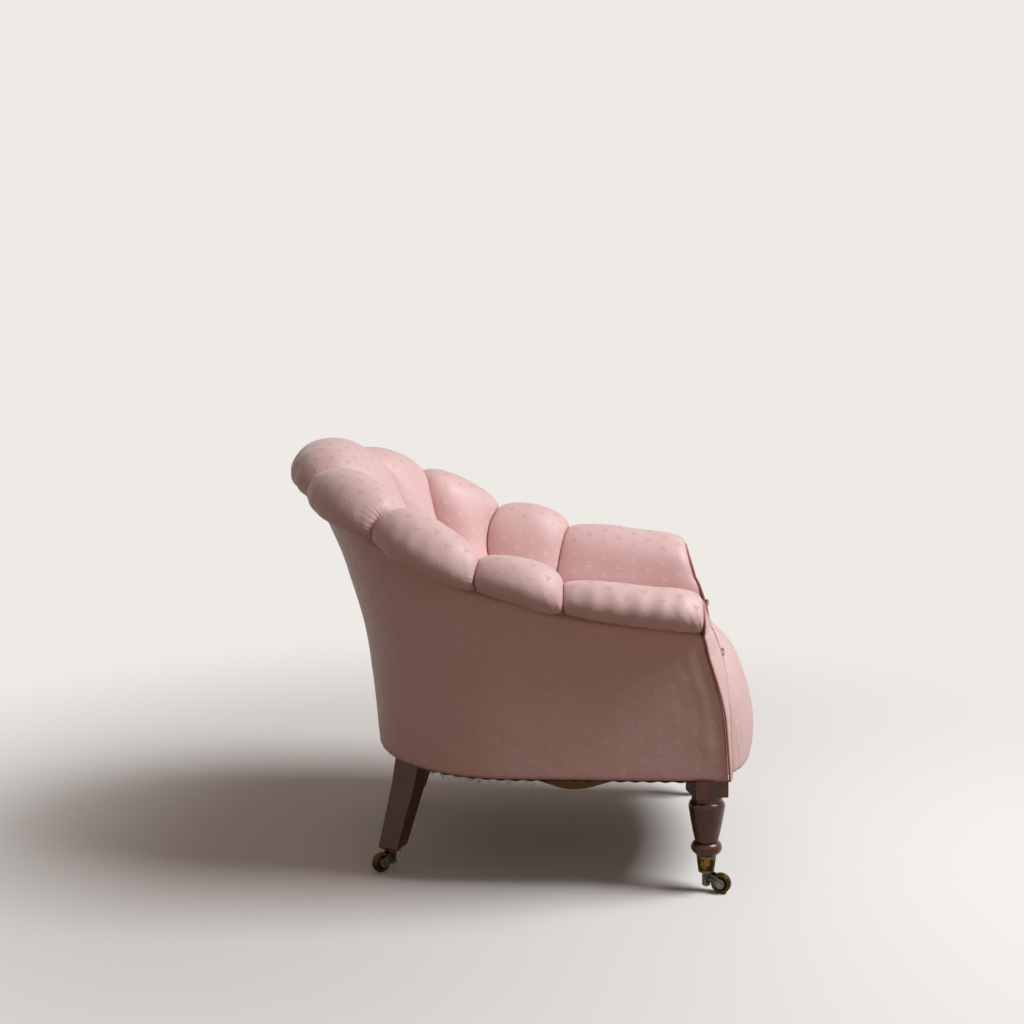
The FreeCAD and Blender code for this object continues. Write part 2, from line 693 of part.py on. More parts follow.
def bow(front, half_width, depth):
    """Arc of the front rail, bowed forward in the middle."""
    return arc(Vector(-half_width, front, BASE_HEIGHT), Vector(0, front - depth, BASE_HEIGHT),
               Vector(half_width, front, BASE_HEIGHT))


def front_rail():
    front, outer = block_front()
    half = outer - BLOCK_WIDTH
    back = front + RAIL_THICKNESS
    wire = Part.Wire([bow(front, half, RAIL_BOW),
                      line(Vector(half, front, BASE_HEIGHT), Vector(half, back, BASE_HEIGHT)),
                      bow(back, half, RAIL_BOW),
                      line(Vector(-half, back, BASE_HEIGHT), Vector(-half, front, BASE_HEIGHT))])
    return Part.Face(wire).extrude(UP * RAIL_HEIGHT)


def rear_block_body(size, height):
    """Block over the rear leg, turned to face the curve of the back rail."""
    turn = math.degrees(math.atan2(REAR_TOP_X, REAR_TOP_Y))
    block = Part.makeBox(size, size, height, Vector(-size / 2, -size / 2, BASE_HEIGHT))
    block.rotate(ORIGIN, UP, -turn)
    block.translate(Vector(REAR_TOP_X, REAR_TOP_Y, 0))
    return block


def rear_block():
    hole = Part.makeCylinder(REAR_PEG_DIAMETER / 2 + FIT_GAP, PEG_LENGTH + FIT_GAP,
                             Vector(REAR_TOP_X, REAR_TOP_Y, BASE_HEIGHT))
    return rear_block_body(REAR_BLOCK, RAIL_HEIGHT).cut(hole)


def corner_blocks():
    right = [front_block(), rear_block()]
    return Part.makeCompound(right + [mirror_x(block) for block in right])


def arm_post(side):
    """Upright under the arm front that carries the facing, leaning back with it."""
    front, _ = block_front()
    cover = [row.inset(COVER_THICKNESS).at(SEAM_SHARES[-1]) for row in reversed(COVER)]
    levels = []
    for height, lean, gap, depth in ((RAIL_TOP, 0, POST_FOOT_GAP, POST_DEPTH),
                                     (POST_TOP, POST_LEAN, POST_TOP_GAP, POST_TOP_DEPTH)):
        x = edge_at(cover, height).x - gap
        y = front + lean
        levels.append(polygon([Vector(x, y, height), Vector(x, y + depth, height),
                               Vector(x - POST_WIDTH, y + depth, height),
                               Vector(x - POST_WIDTH, y, height)]))
    post = loft(levels, True)
    return post if side > 0 else mirror_x(post)


def bow_points(half_width, depth, height, count):
    """Points on the bowed outline of the seat front, from right to left."""
    points = []
    for turn in even(-math.pi / 2, math.pi / 2, count):
        points.append(Vector(half_width * math.sin(turn), -FRONT_CENTRE - depth * math.cos(turn), height))
    return points


def seat_front_roll():
    """Stuffed front of the seat, bowed in plan and rounded over at the top, round the front rail."""
    fronts = []
    backs = []
    for high, wide, deep in FRONT_SHARES:
        height = between(FRONT_BOTTOM, FRONT_TOP, high)
        points = bow_points(FRONT_HALF_WIDTH * wide, FRONT_DEPTH * deep, height, FRONT_STEPS)
        fronts.append(points)
        backs.append([Vector(point.x, -FRONT_START, height) for point in points])
    roll = walled(fronts, backs)
    size = 2 * SHELL_BACK
    front, outer = block_front()
    # Beside the facings it ends square, and the post and corner block stand behind that end.
    for side in (1, -1):
        past = Part.makeBox(size, size, size, Vector(FRONT_CLIP, -size / 2, 0))
        corner = Part.makeBox(size, size, size, Vector(outer - POST_WIDTH - SOFT_GAP, front - SOFT_GAP, 0))
        block = Part.makeBox(size, size, RAIL_TOP + SOFT_GAP,
                             Vector(outer - BLOCK_WIDTH - SOFT_GAP, front - SOFT_GAP, 0))
        past = past.cut(Part.makeBox(size, size, size, Vector(0, -size - FRONT_CENTRE - FRONT_CLIP_BACK, 0)))
        for cutter in (past, corner, block):
            roll = roll.cut(cutter if side > 0 else mirror_x(cutter))
    half = outer - BLOCK_WIDTH + OVERRUN
    face = front - SOFT_GAP
    behind = Part.Wire([bow(face, half, RAIL_BOW),
                        line(Vector(half, face, BASE_HEIGHT), Vector(half, 0, BASE_HEIGHT)),
                        line(Vector(half, 0, BASE_HEIGHT), Vector(-half, 0, BASE_HEIGHT)),
                        line(Vector(-half, 0, BASE_HEIGHT), Vector(-half, face, BASE_HEIGHT))])
    return roll.cut(Part.Face(behind).extrude(UP * (RAIL_HEIGHT + SOFT_GAP)))


def seat_pad():
    """Crowned pad of the seat, from the foot of the channels to the front roll."""
    side, shoulder = SEAT_SIDE_SHARE, SEAT_SHOULDER_SHARES
    tops = []
    unders = []
    squareness = SHELL[0].squareness
    for place, crown in SEAT_SHARES:
        y = place * (SEAT_BACK if place > 0 else FRONT_START - SOFT_GAP)
        half = SEAT_HALF_WIDTH * (1 - max(0, place) ** squareness) ** (1 / squareness)
        height = (SEAT_TOP - SEAT_UNDER) * crown
        across = ((-1, side), (-shoulder[0], shoulder[1]), (0, 1), (shoulder[0], shoulder[1]), (1, side))
        tops.append([Vector(half * x, y, SEAT_UNDER + height * z) for x, z in across])
        unders.append([Vector(half * x, y, SEAT_UNDER) for x, _ in across])
    return walled(tops, unders)


def spring_hessian():
    """Canvas over the springs, under the seat pad."""
    top = SEAT_UNDER - SOFT_GAP
    row = Row(SEAT_HALF_WIDTH, SEAT_BACK, SEAT_HALF_WIDTH, FRONT_START, SHELL[0].squareness, top, top)
    points = [row.at(place) for place in spans()]
    wire = Part.Wire(chain(points) + [line(points[-1], points[0])])
    return Part.Face(wire).extrude(-UP * HESSIAN_THICKNESS)


def spring():
    """Waisted coil spring, standing on the webbing."""
    low = BASE_HEIGHT + SPRING_WIRE / 2 + FIT_GAP
    high = SEAT_UNDER - SOFT_GAP - HESSIAN_THICKNESS - FIT_GAP - SPRING_WIRE / 2

    def centre(turns):
        share = turns / SPRING_TURNS
        angle = 2 * math.pi * turns
        radius = between(SPRING_WAIST_RADIUS, SPRING_END_RADIUS, (2 * share - 1) ** 2)
        return Vector(radius * math.cos(angle), radius * math.sin(angle), between(low, high, share))

    def run(turns):
        return (centre(turns + NUDGE_SHARE) - centre(turns - NUDGE_SHARE)).normalize()

    edges = []
    for quarter in range(4 * SPRING_TURNS):
        start, end = quarter / 4, (quarter + 1) / 4
        edges += biarc(centre(start), run(start), centre(end), run(end))
    print("least gap between turns of a spring:", round((high - low) / SPRING_TURNS - SPRING_WIRE, 1))
    return swept(edges, SPRING_WIRE / 2, centre(0), run(0))


def coil_springs():
    one = spring()
    group = []
    for column in (-1, 0, 1):
        for row in (-1, 0, 1):
            copy = one.copy()
            copy.translate(Vector(SPRING_PITCH_X * column, SPRING_CENTRE_Y + SPRING_PITCH_Y * row, 0))
            group.append(copy)
    return Part.makeCompound(group)


def leg_squares(height, depth):
    """Room that the heads of the four legs need, for what is cut round them."""
    size = SQUARE_SIZE + 2 * CLOTH_INSET
    front = Part.makeBox(size, size, depth, Vector(-size / 2, -size / 2, height))
    front.rotate(ORIGIN, UP, -LEG_TURN)
    front.translate(Vector(LEG_X, LEG_Y, 0))
    size = REAR_TOP_SIZE + CLOTH_INSET
    rear = Part.makeBox(size, size, depth, Vector(-size / 2, -size / 2, height))
    rear.rotate(ORIGIN, UP, REAR_TURN)
    rear.translate(Vector(REAR_TOP_X, REAR_TOP_Y, 0))
    return [front, rear, mirror_x(front), mirror_x(rear)]


def base_face(inset, height):
    """Flat D-shaped face of the base outline, closed across the bowed front rail."""
    front, outer = block_front()
    row = RAIL_LINE.inset(inset)
    row.reach = -front - inset
    row.back_height = row.arm_height = height
    points = [row.at(place) for place in spans()]
    nose = Vector(0, front - RAIL_BOW + inset, height)
    return Part.Face(Part.Wire(chain(points) + [arc(points[-1], nose, points[0])]))


def webbing(along):
    """Strips tacked under the rails: the lengthwise ones against the rails, the others under them."""
    size = 2 * SHELL_BACK
    height = BASE_HEIGHT - WEB_THICKNESS if along else BASE_HEIGHT - 2 * WEB_THICKNESS
    strips = []
    for step in (-1, 0, 1):
        if along:
            corner = Vector(SPRING_PITCH_X * step - WEB_WIDTH / 2, -size, height)
            strip = Part.makeBox(WEB_WIDTH, 2 * size, WEB_THICKNESS, corner)
        else:
            corner = Vector(-size, SPRING_CENTRE_Y + SPRING_PITCH_Y * step - WEB_WIDTH / 2, height)
            strip = Part.makeBox(2 * size, WEB_WIDTH, WEB_THICKNESS, corner)
        strips.append(strip)
    room = base_face(CLOTH_INSET, height).extrude(UP * WEB_THICKNESS)
    trimmed = [strip.common(room) for strip in strips]
    for square in leg_squares(height - OVERRUN, 2 * OVERRUN):
        trimmed = [strip.cut(square) for strip in trimmed]
    return Part.makeCompound([max(strip.Solids, key=lambda solid: solid.Volume) for strip in trimmed])


def bottom_cloth():
    """Hessian under the seat, sagging from its tacked edge."""
    top = BASE_HEIGHT - 2 * WEB_THICKNESS
    rings = []
    for inward, sag in CLOTH_SHARES:
        face = base_face(CLOTH_INSET + inward * BASE_BACK, top - CLOTH_SAG * sag)
        rings.append(face.OuterWire)
    dish = loft(rings, True)
    above = dish.copy()
    above.translate(UP * CLOTH_THICKNESS)
    cloth = dish.cut(above)
    for square in leg_squares(top - CLOTH_SAG - OVERRUN, CLOTH_SAG + 2 * OVERRUN):
        cloth = cloth.cut(square)
    return max(cloth.Solids, key=lambda solid: solid.Volume)


def facing_edges():
    """Outer and inner edge of an arm facing, as points from the base up to the top of the scroll."""
    end = SEAM_SHARES[-1]
    centre = rod_line().at(end)
    outer = [row.at(end) for row in reversed(COVER)]
    inner = []
    for high, wide in FACING_SHARES:
        height = between(BASE_HEIGHT, SEAT_LINE, high)
        inner.append(Vector(edge_at(outer, height).x - FACING_WIDTH * wide, 0, height))
    crest = max(range(len(SHELL)), key=lambda index: SHELL[index].arm_height)
    for index, row in enumerate(SHELL):
        point = row.at(end)
        away = Vector(point.x - centre.x, 0, point.z - centre.z).normalize() * FACING_MARGIN
        if index > crest:
            continue
        if row.arm_height > between(SEAT_LINE, ARM_CREST, ROW_SHARES[1][6]) - FACING_MARGIN:
            inner.append(point + away)
    for row in reversed(SHELL[crest + 1:]):
        point = row.at(end)
        outer.append(point + Vector(point.x - centre.x, 0, point.z - centre.z).normalize() * FACING_MARGIN)
    return outer, inner


def edge_at(points, height):
    """Point of an edge at a height, along a smooth curve through its points."""
    heights = [point.z for point in points]
    return Vector(smooth_table(heights, [point.x for point in points], height),
                  smooth_table(heights, [point.y for point in points], height), height)


def facing_levels():
    """For each level of the facing: its outer and inner edge."""
    outer, inner = facing_edges()
    top = min(outer[-1].z, inner[-1].z)
    levels = []
    for share in even(0, 1, FACING_LEVELS):
        height = between(BASE_HEIGHT + SOFT_GAP, top, 1 - (1 - share) ** 1.5)
        outside = edge_at(outer, height)
        inside = edge_at(inner, height)
        outside.y -= FACING_GAP
        width = outside.x - inside.x
        rest = max(top - height, OVERRUN * STRAIGHT_SHARE)
        wide = (width ** -FACING_BLEND_POWER + rest ** -FACING_BLEND_POWER) ** (-1 / FACING_BLEND_POWER)
        inside.y = outside.y - wide * FACING_TURN_SHARE
        levels.append((outside, inside))
    return levels


def arm_facing(side):
    """Padded panel over the front end of the arm: wide at the scroll, drawn to a point at the base."""
    fronts = []
    backs = []
    for outside, inside in facing_levels():
        width = outside.x - inside.x
        middle = (outside + inside) / 2
        ahead = Vector(-FACING_TURN_SHARE, -1, 0).normalize()
        bulge = FACING_BULGE * min(1.0, width / FACING_WIDTH)
        backs.append([Vector(point.x, outside.y, point.z) for point in (outside, middle, inside)])
        fronts.append([outside + ahead * FACING_EDGE, middle + ahead * (FACING_EDGE + bulge),
                       inside + ahead * FACING_EDGE])
    facing = walled(fronts, backs)
    return facing if side > 0 else mirror_x(facing)


def arm_piping(side):
    """Piping cord round the facing, up its outer edge, over the scroll and down the inner edge."""
    radius = PIPING_DIAMETER / 2
    ahead = Vector(-FACING_TURN_SHARE, -1, 0).normalize()
    levels = facing_levels()
    edge = [outside for outside, _ in levels] + [inside for _, inside in reversed(levels)]
    centres = []
    for index, point in enumerate(edge):
        run = edge[min(index + 1, len(edge) - 1)] - edge[max(index - 1, 0)]
        away = Vector(run.z, 0, -run.x).normalize()
        centres.append(point + away * (radius + PIPING_GAP) + ahead * (FACING_EDGE / 2))
    cord = tube(centres, radius).cut(arm_facing(1))
    return cord if side > 0 else mirror_x(cord)


def turned(profile, centre):
    """Solid of revolution about a vertical axis, from edges that start and end on the axis."""
    face = Part.Face(Part.Wire(profile))
    solid = face.revolve(ORIGIN, UP, 360)
    solid.translate(centre)
    if solid.Volume < 0:
        solid.reverse()
    return solid


def place(radius, height):
    return Vector(radius, 0, height)


def spigot_radius(height):
    """Radius of the leg inside its cup."""
    share = (height - CUP_FLOOR_HEIGHT) / (CUP_TOP_HEIGHT - CUP_FLOOR_HEIGHT)
    return between(CUP_FLOOR_DIAMETER, CUP_TOP_DIAMETER, share) / 2 - CUP_WALL - FIT_GAP


def front_leg(side):
    """Front leg: squared head with a peg, vase turning, ring and the tapered end in the cup."""
    square = Part.makeBox(SQUARE_SIZE, SQUARE_SIZE, SQUARE_HEIGHT,
                          Vector(-SQUARE_SIZE / 2, -SQUARE_SIZE / 2, BASE_HEIGHT - SQUARE_HEIGHT))
    square.rotate(ORIGIN, UP, -LEG_TURN)
    square.translate(Vector(LEG_X, LEG_Y, 0))
    top = BASE_HEIGHT - SQUARE_HEIGHT / 2
    neck, vase, foot = NECK_DIAMETER / 2, VASE_DIAMETER / 2, VASE_FOOT_DIAMETER / 2
    ring, ankle = RING_DIAMETER / 2, ANKLE_DIAMETER / 2
    ring_top, ring_low = RING_HEIGHT + RING_WIDTH / 2, RING_HEIGHT - RING_WIDTH / 2
    shoulder = place(between(neck, vase, VASE_SHOULDER_SHARES[0]),
                     between(VASE_TOP_HEIGHT, VASE_WIDEST_HEIGHT, VASE_SHOULDER_SHARES[1]))
    taper = place(between(foot, vase, VASE_TAPER_SHARES[0]),
                  between(VASE_FOOT_HEIGHT, VASE_WIDEST_HEIGHT, VASE_TAPER_SHARES[1]))
    low = CUP_FLOOR_HEIGHT + CUP_BASE + FIT_GAP
    cup_top = CUP_TOP_HEIGHT
    profile = [
        line(place(0, top), place(neck, top)),
        line(place(neck, top), place(neck, VASE_TOP_HEIGHT)),
        arc(place(neck, VASE_TOP_HEIGHT), shoulder, place(vase, VASE_WIDEST_HEIGHT)),
        arc(place(vase, VASE_WIDEST_HEIGHT), taper, place(foot, VASE_FOOT_HEIGHT)),
        line(place(foot, VASE_FOOT_HEIGHT), place(ankle, VASE_FOOT_HEIGHT)),
        line(place(ankle, VASE_FOOT_HEIGHT), place(ankle, ring_top)),
        arc(place(ankle, ring_top), place(ring, RING_HEIGHT), place(ankle, ring_low)),
        line(place(ankle, ring_low), place(ankle, cup_top)),
        line(place(ankle, cup_top), place(spigot_radius(cup_top), cup_top)),
        line(place(spigot_radius(cup_top), cup_top), place(spigot_radius(low), low)),
        line(place(spigot_radius(low), low), place(0, low)),
        line(place(0, low), place(0, top)),
    ]
    peg = Part.makeCylinder(PEG_DIAMETER / 2, PEG_LENGTH, Vector(LEG_X, LEG_Y, BASE_HEIGHT))
    leg = square.fuse(turned(profile, Vector(LEG_X, LEG_Y, 0))).fuse(peg)
    leg = leg.cut(screw_hole("front_left"))
    leg = max(leg.removeSplitter().Solids, key=lambda solid: solid.Volume)
    return leg if side > 0 else mirror_x(leg)


def square_wire(centre, size, turn):
    corners = []
    for corner in range(4):
        angle = math.radians(turn + 45 + 90 * corner)
        reach = size / math.sqrt(2)
        corners.append(centre + Vector(reach * math.cos(angle), reach * math.sin(angle), 0))
    return polygon(corners)


def rear_leg(side):
    """Rear leg: square, raked back and out, tapering to a rounded foot over the caster plate."""
    foot_height = CUP_FLOOR_HEIGHT + PLATE_THICKNESS
    start = Vector(REAR_TOP_X, REAR_TOP_Y, BASE_HEIGHT)
    end = Vector(REAR_FOOT_X, REAR_FOOT_Y, foot_height + REAR_ROUNDING)
    wires = []
    for down, swept in REAR_SWEEP_SHARES:
        centre = Vector(between(start.x, end.x, swept), between(start.y, end.y, swept),
                        between(start.z, end.z, down))
        wires.append(square_wire(centre, between(REAR_TOP_SIZE, REAR_FOOT_SIZE, down), REAR_TURN))
    foot = Vector(end.x, end.y, foot_height)
    wires.append(square_wire(foot, REAR_FOOT_SIZE - 2 * REAR_ROUNDING, REAR_TURN))
    peg = Part.makeCylinder(REAR_PEG_DIAMETER / 2, PEG_LENGTH, start)
    leg = loft(wires, True).fuse(peg)
    leg = leg.cut(screw_hole("rear_left"))
    leg = max(leg.Solids, key=lambda solid: solid.Volume)
    return leg if side > 0 else mirror_x(leg)


# Where each caster stands and which way its wheel trails.
CASTERS = {
    "front_left": (LEG_X, LEG_Y, FRONT_LEFT_HEADING),
    "front_right": (-LEG_X, LEG_Y, FRONT_RIGHT_HEADING),
    "rear_left": (REAR_FOOT_X, REAR_FOOT_Y, REAR_LEFT_HEADING),
    "rear_right": (-REAR_FOOT_X, REAR_FOOT_Y, REAR_RIGHT_HEADING),
}


def set_caster(name, shape):
    """Turn and move a piece, made at the origin with its wheel trailing along +X, to its caster."""
    x, y, heading = CASTERS[name]
    shape.rotate(ORIGIN, UP, heading)
    shape.translate(Vector(x, y, 0))
    return shape


def screw(start, direction, slot_turn):
    """Slotted screw: its head lies flush at the start, and its shank runs along the direction."""
    head = Part.makeCylinder(SCREW_HEAD_DIAMETER / 2, SCREW_HEAD_HEIGHT)
    shank = Part.makeCylinder(SCREW_SHANK_DIAMETER / 2, SCREW_LENGTH)
    slot = Part.makeBox(SCREW_HEAD_DIAMETER, SCREW_SLOT_WIDTH, SCREW_SLOT_DEPTH,
                        Vector(-SCREW_HEAD_DIAMETER / 2, -SCREW_SLOT_WIDTH / 2, 0))
    body = head.fuse(shank).cut(slot)
    body.rotate(ORIGIN, UP, slot_turn)
    return aimed(body, start, direction)


def screw_room(start, direction):
    """Hole for a screw: a seat for the head and a bore for the shank."""
    seat = Part.makeCylinder(SCREW_HEAD_DIAMETER / 2 + FIT_GAP, SCREW_HEAD_HEIGHT + FIT_GAP + OVERRUN,
                             Vector(0, 0, -OVERRUN))
    bore = Part.makeCylinder(SCREW_SHANK_DIAMETER / 2 + FIT_GAP, SCREW_LENGTH + FIT_GAP)
    return aimed(seat.fuse(bore), start, direction)


def aimed(shape, start, direction):
    """Turn a shape that points along +Z to a direction, and set it at a point."""
    shape.Placement = FreeCAD.Placement(start, FreeCAD.Rotation(UP, direction))
    return shape


def screw_places(name):
    """Start and direction of each screw of a caster."""
    x, y, _ = CASTERS[name]
    if name.startswith("front"):
        side = math.copysign(1, x)
        return [(Vector(x + side * cup_radius(CUP_SCREW_HEIGHT), y, CUP_SCREW_HEIGHT), Vector(-side, 0, 0))]
    places = []
    for index in range(PLATE_SCREWS):
        angle = 2 * math.pi * index / PLATE_SCREWS
        reach = PLATE_DIAMETER / 2 * PLATE_SCREW_CIRCLE_SHARE
        across = math.copysign(reach * math.cos(angle), x * math.cos(angle))
        places.append((Vector(x + across, y + reach * math.sin(angle), CUP_FLOOR_HEIGHT), UP))
    return places


def screw_hole(name):
    rooms = [screw_room(start, direction) for start, direction in screw_places(name)]
    return Part.makeCompound(rooms)


def caster_screws():
    group = []
    for name in CASTERS:
        for index, (start, direction) in enumerate(screw_places(name)):
            group.append(screw(start, direction, SLOT_TURN * (index + 1)))
    return Part.makeCompound(group)


def cup_radius(height):
    share = (height - CUP_FLOOR_HEIGHT) / (CUP_TOP_HEIGHT - CUP_FLOOR_HEIGHT)
    return between(CUP_FLOOR_DIAMETER, CUP_TOP_DIAMETER, share) / 2


def caster_cup(name):
    """Tapered brass cup on the end of a front leg."""
    x, y, _ = CASTERS[name]
    height = CUP_TOP_HEIGHT - CUP_FLOOR_HEIGHT
    cup = Part.makeCone(CUP_FLOOR_DIAMETER / 2, CUP_TOP_DIAMETER / 2, height, Vector(x, y, CUP_FLOOR_HEIGHT))
    floor = CUP_FLOOR_HEIGHT + CUP_BASE
    room = Part.makeCone(cup_radius(floor) - CUP_WALL, cup_radius(CUP_TOP_HEIGHT) - CUP_WALL,
                         CUP_TOP_HEIGHT - floor, Vector(x, y, floor))
    hole = Part.makeCylinder(STUD_TENON_DIAMETER / 2 + FIT_GAP, CUP_BASE, Vector(x, y, CUP_FLOOR_HEIGHT))
    return cup.cut(room).cut(hole).cut(screw_hole(name))


def caster_plate(name):
    """Round brass plate screwed under a rear leg."""
    x, y, _ = CASTERS[name]
    centre = Vector(x, y, CUP_FLOOR_HEIGHT)
    plate = Part.makeCylinder(PLATE_DIAMETER / 2, PLATE_THICKNESS, centre)
    hole = Part.makeCylinder(STUD_TENON_DIAMETER / 2 + FIT_GAP, PLATE_THICKNESS, centre)
    return plate.cut(hole).cut(screw_hole(name))


def boss_levels():
    """Top and bottom of the boss that turns on the stud."""
    top = CUP_FLOOR_HEIGHT - SIDE_GAP
    return top, top - BOSS_LENGTH


def caster_stud(name):
    """Upright pin riveted into the cup or plate, with the head that holds the boss on."""
    thickness = CUP_BASE if name.startswith("front") else PLATE_THICKNESS
    _, low = boss_levels()
    head_top = low - RUN_GAP
    tenon = Part.makeCylinder(STUD_TENON_DIAMETER / 2, thickness, Vector(0, 0, CUP_FLOOR_HEIGHT))
    shank = Part.makeCylinder(STUD_DIAMETER / 2, CUP_FLOOR_HEIGHT - head_top, Vector(0, 0, head_top))
    head = Part.makeCone(STUD_HEAD_DIAMETER / 4, STUD_HEAD_DIAMETER / 2, STUD_HEAD_HEIGHT,
                         Vector(0, 0, head_top - STUD_HEAD_HEIGHT))
    return set_caster(name, tenon.fuse(shank).fuse(head).removeSplitter())


def cheek(side):
    """One side of the fork, from the yoke down to the axle."""
    top, _ = boss_levels()
    inner = WHEEL_WIDTH / 2 + SIDE_GAP
    start = inner if side > 0 else -inner - CHEEK_THICKNESS
    upper = CHEEK_TOP_DIAMETER / 2
    lower = CHEEK_FOOT_DIAMETER / 2
    high = Vector(upper, start, top - upper)
    low = Vector(TRAIL, start, WHEEL_DIAMETER / 2)
    across = (low - high).cross(Vector(0, 1, 0)).normalize()
    corners = [high + across * upper, low + across * lower, low - across * lower, high - across * upper]
    web = Part.Face(polygon(corners)).extrude(Vector(0, CHEEK_THICKNESS, 0))
    along = Vector(0, 1, 0)
    ends = [Part.makeCylinder(upper, CHEEK_THICKNESS, high, along),
            Part.makeCylinder(lower, CHEEK_THICKNESS, low, along)]
    return web.fuse(ends)


def caster_horn(name):
    """Swivelling horn: the boss on the stud, the yoke and the two cheeks that hold the axle."""
    top, low = boss_levels()
    boss = Part.makeCylinder(BOSS_DIAMETER / 2, BOSS_LENGTH, Vector(0, 0, low))
    half = WHEEL_WIDTH / 2 + SIDE_GAP + CHEEK_THICKNESS
    yoke = Part.makeBox(YOKE_REACH, 2 * half, YOKE_HEIGHT, Vector(0, -half, top - YOKE_HEIGHT))
    horn = boss.fuse([yoke, cheek(1), cheek(-1)])
    wheel_room = Part.makeCylinder(WHEEL_DIAMETER / 2 + SIDE_GAP, WHEEL_WIDTH + 2 * SIDE_GAP,
                                   Vector(TRAIL, -WHEEL_WIDTH / 2 - SIDE_GAP, WHEEL_DIAMETER / 2),
                                   Vector(0, 1, 0))
    bore = Part.makeCylinder(STUD_DIAMETER / 2 + RUN_GAP, BOSS_LENGTH, Vector(0, 0, low))
    axle_bore = Part.makeCylinder(AXLE_DIAMETER / 2 + FIT_GAP, 2 * half,
                                  Vector(TRAIL, -half, WHEEL_DIAMETER / 2), Vector(0, 1, 0))
    horn = horn.cut(wheel_room).cut(bore).cut(axle_bore)
    return set_caster(name, max(horn.Solids, key=lambda solid: solid.Volume))


def caster_axle(name):
    """Pin through the cheeks and the wheel, headed at both ends."""
    half = WHEEL_WIDTH / 2 + SIDE_GAP + CHEEK_THICKNESS
    along = Vector(0, 1, 0)
    centre = Vector(TRAIL, 0, WHEEL_DIAMETER / 2)
    pin = Part.makeCylinder(AXLE_DIAMETER / 2, 2 * half, centre - along * half, along)
    heads = [Part.makeCylinder(AXLE_HEAD_DIAMETER / 2, AXLE_HEAD_HEIGHT, centre + along * half, along),
             Part.makeCylinder(AXLE_HEAD_DIAMETER / 2, AXLE_HEAD_HEIGHT, centre - along * half, -along)]
    return set_caster(name, pin.fuse(heads))


def caster_wheel(name):
    """Solid brass wheel with a rounded tread, a rim, dished faces and a hub."""
    radius, half = WHEEL_DIAMETER / 2, WHEEL_WIDTH / 2
    hub, bore = WHEEL_HUB_DIAMETER / 2, AXLE_DIAMETER / 2 + RUN_GAP
    rounding = WHEEL_TREAD_ROUNDING
    rim = radius - WHEEL_RIM
    soft = rounding * (1 - math.sqrt(0.5))
    profile = []
    outline = [Vector(bore, -half, 0), Vector(hub, -half, 0), Vector(hub + WHEEL_DISH, WHEEL_DISH - half, 0),
               Vector(rim - WHEEL_DISH, WHEEL_DISH - half, 0), Vector(rim, -half, 0),
               Vector(radius - rounding, -half, 0)]
    mirrored = [Vector(point.x, -point.y, 0) for point in reversed(outline)]
    for start, end in zip(outline, outline[1:]):
        profile.append(line(start, end))
    tread = [Vector(radius, rounding - half, 0), Vector(radius, half - rounding, 0)]
    profile.append(arc(outline[-1], Vector(radius - soft, soft - half, 0), tread[0]))
    profile.append(line(tread[0], tread[1]))
    profile.append(arc(tread[1], Vector(radius - soft, half - soft, 0), mirrored[0]))
    for start, end in zip(mirrored, mirrored[1:]):
        profile.append(line(start, end))
    profile.append(line(mirrored[-1], outline[0]))
    wheel = Part.Face(Part.Wire(profile)).revolve(ORIGIN, Vector(0, 1, 0), 360)
    if wheel.Volume < 0:
        wheel.reverse()
    wheel.translate(Vector(TRAIL, 0, radius))
    return set_caster(name, wheel)


def build():
    export("back_lining", back_lining())
    seams = SEAM_SHARES
    export("channel_centre", channel(-seams[0], seams[0], FULLNESS_SHARES[0]))
    for number, (start, end) in enumerate(zip(seams, seams[1:]), 1):
        piece = channel(start, end, FULLNESS_SHARES[number])
        export("channel_left_" + str(number), piece)
        export("channel_right_" + str(number), mirror_x(piece))
    export("iron_top_rod", iron_top_rod())
    export("iron_uprights", iron_uprights())
    export("roll_stuffing", roll_stuffing())
    export("corner_blocks", corner_blocks())
    export("back_rail", back_rail())
    export("front_rail", front_rail())
    export("seat_front_roll", seat_front_roll())
    export("seat_pad", seat_pad())
    export("spring_hessian", spring_hessian())
    export("coil_springs", coil_springs())
    export("webbing_lengthwise", webbing(True))
    export("webbing_crosswise", webbing(False))
    export("bottom_cloth", bottom_cloth())
    for side, name in ((1, "left"), (-1, "right")):
        export("outside_cover_" + name, outside_cover(side))
        export("side_rail_" + name, side_rail(side))
        export("arm_post_" + name, arm_post(side))
        export("arm_facing_" + name, arm_facing(side))
        export("arm_piping_" + name, arm_piping(side))
        export("front_leg_" + name, front_leg(side))
        export("rear_leg_" + name, rear_leg(side))
    export("caster_screws", caster_screws())
    for name in CASTERS:
        holder, made = ("cup", caster_cup) if name.startswith("front") else ("plate", caster_plate)
        export("caster_" + holder + "_" + name, made(name))
        export("caster_stud_" + name, caster_stud(name))
        export("caster_horn_" + name, caster_horn(name))
        export("caster_axle_" + name, caster_axle(name))
        export("caster_wheel_" + name, caster_wheel(name))


build()
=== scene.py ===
"""Low shell chair in pale rose damask: nine stuffed channels, a sprung seat, piped arm facings,
a tight outside cover, hessian underneath, turned and raked mahogany legs on brass casters.

Metres, +Z up, floor at Z = 0, the chair faces -Y, left is +X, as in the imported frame.
"""
import json
import math

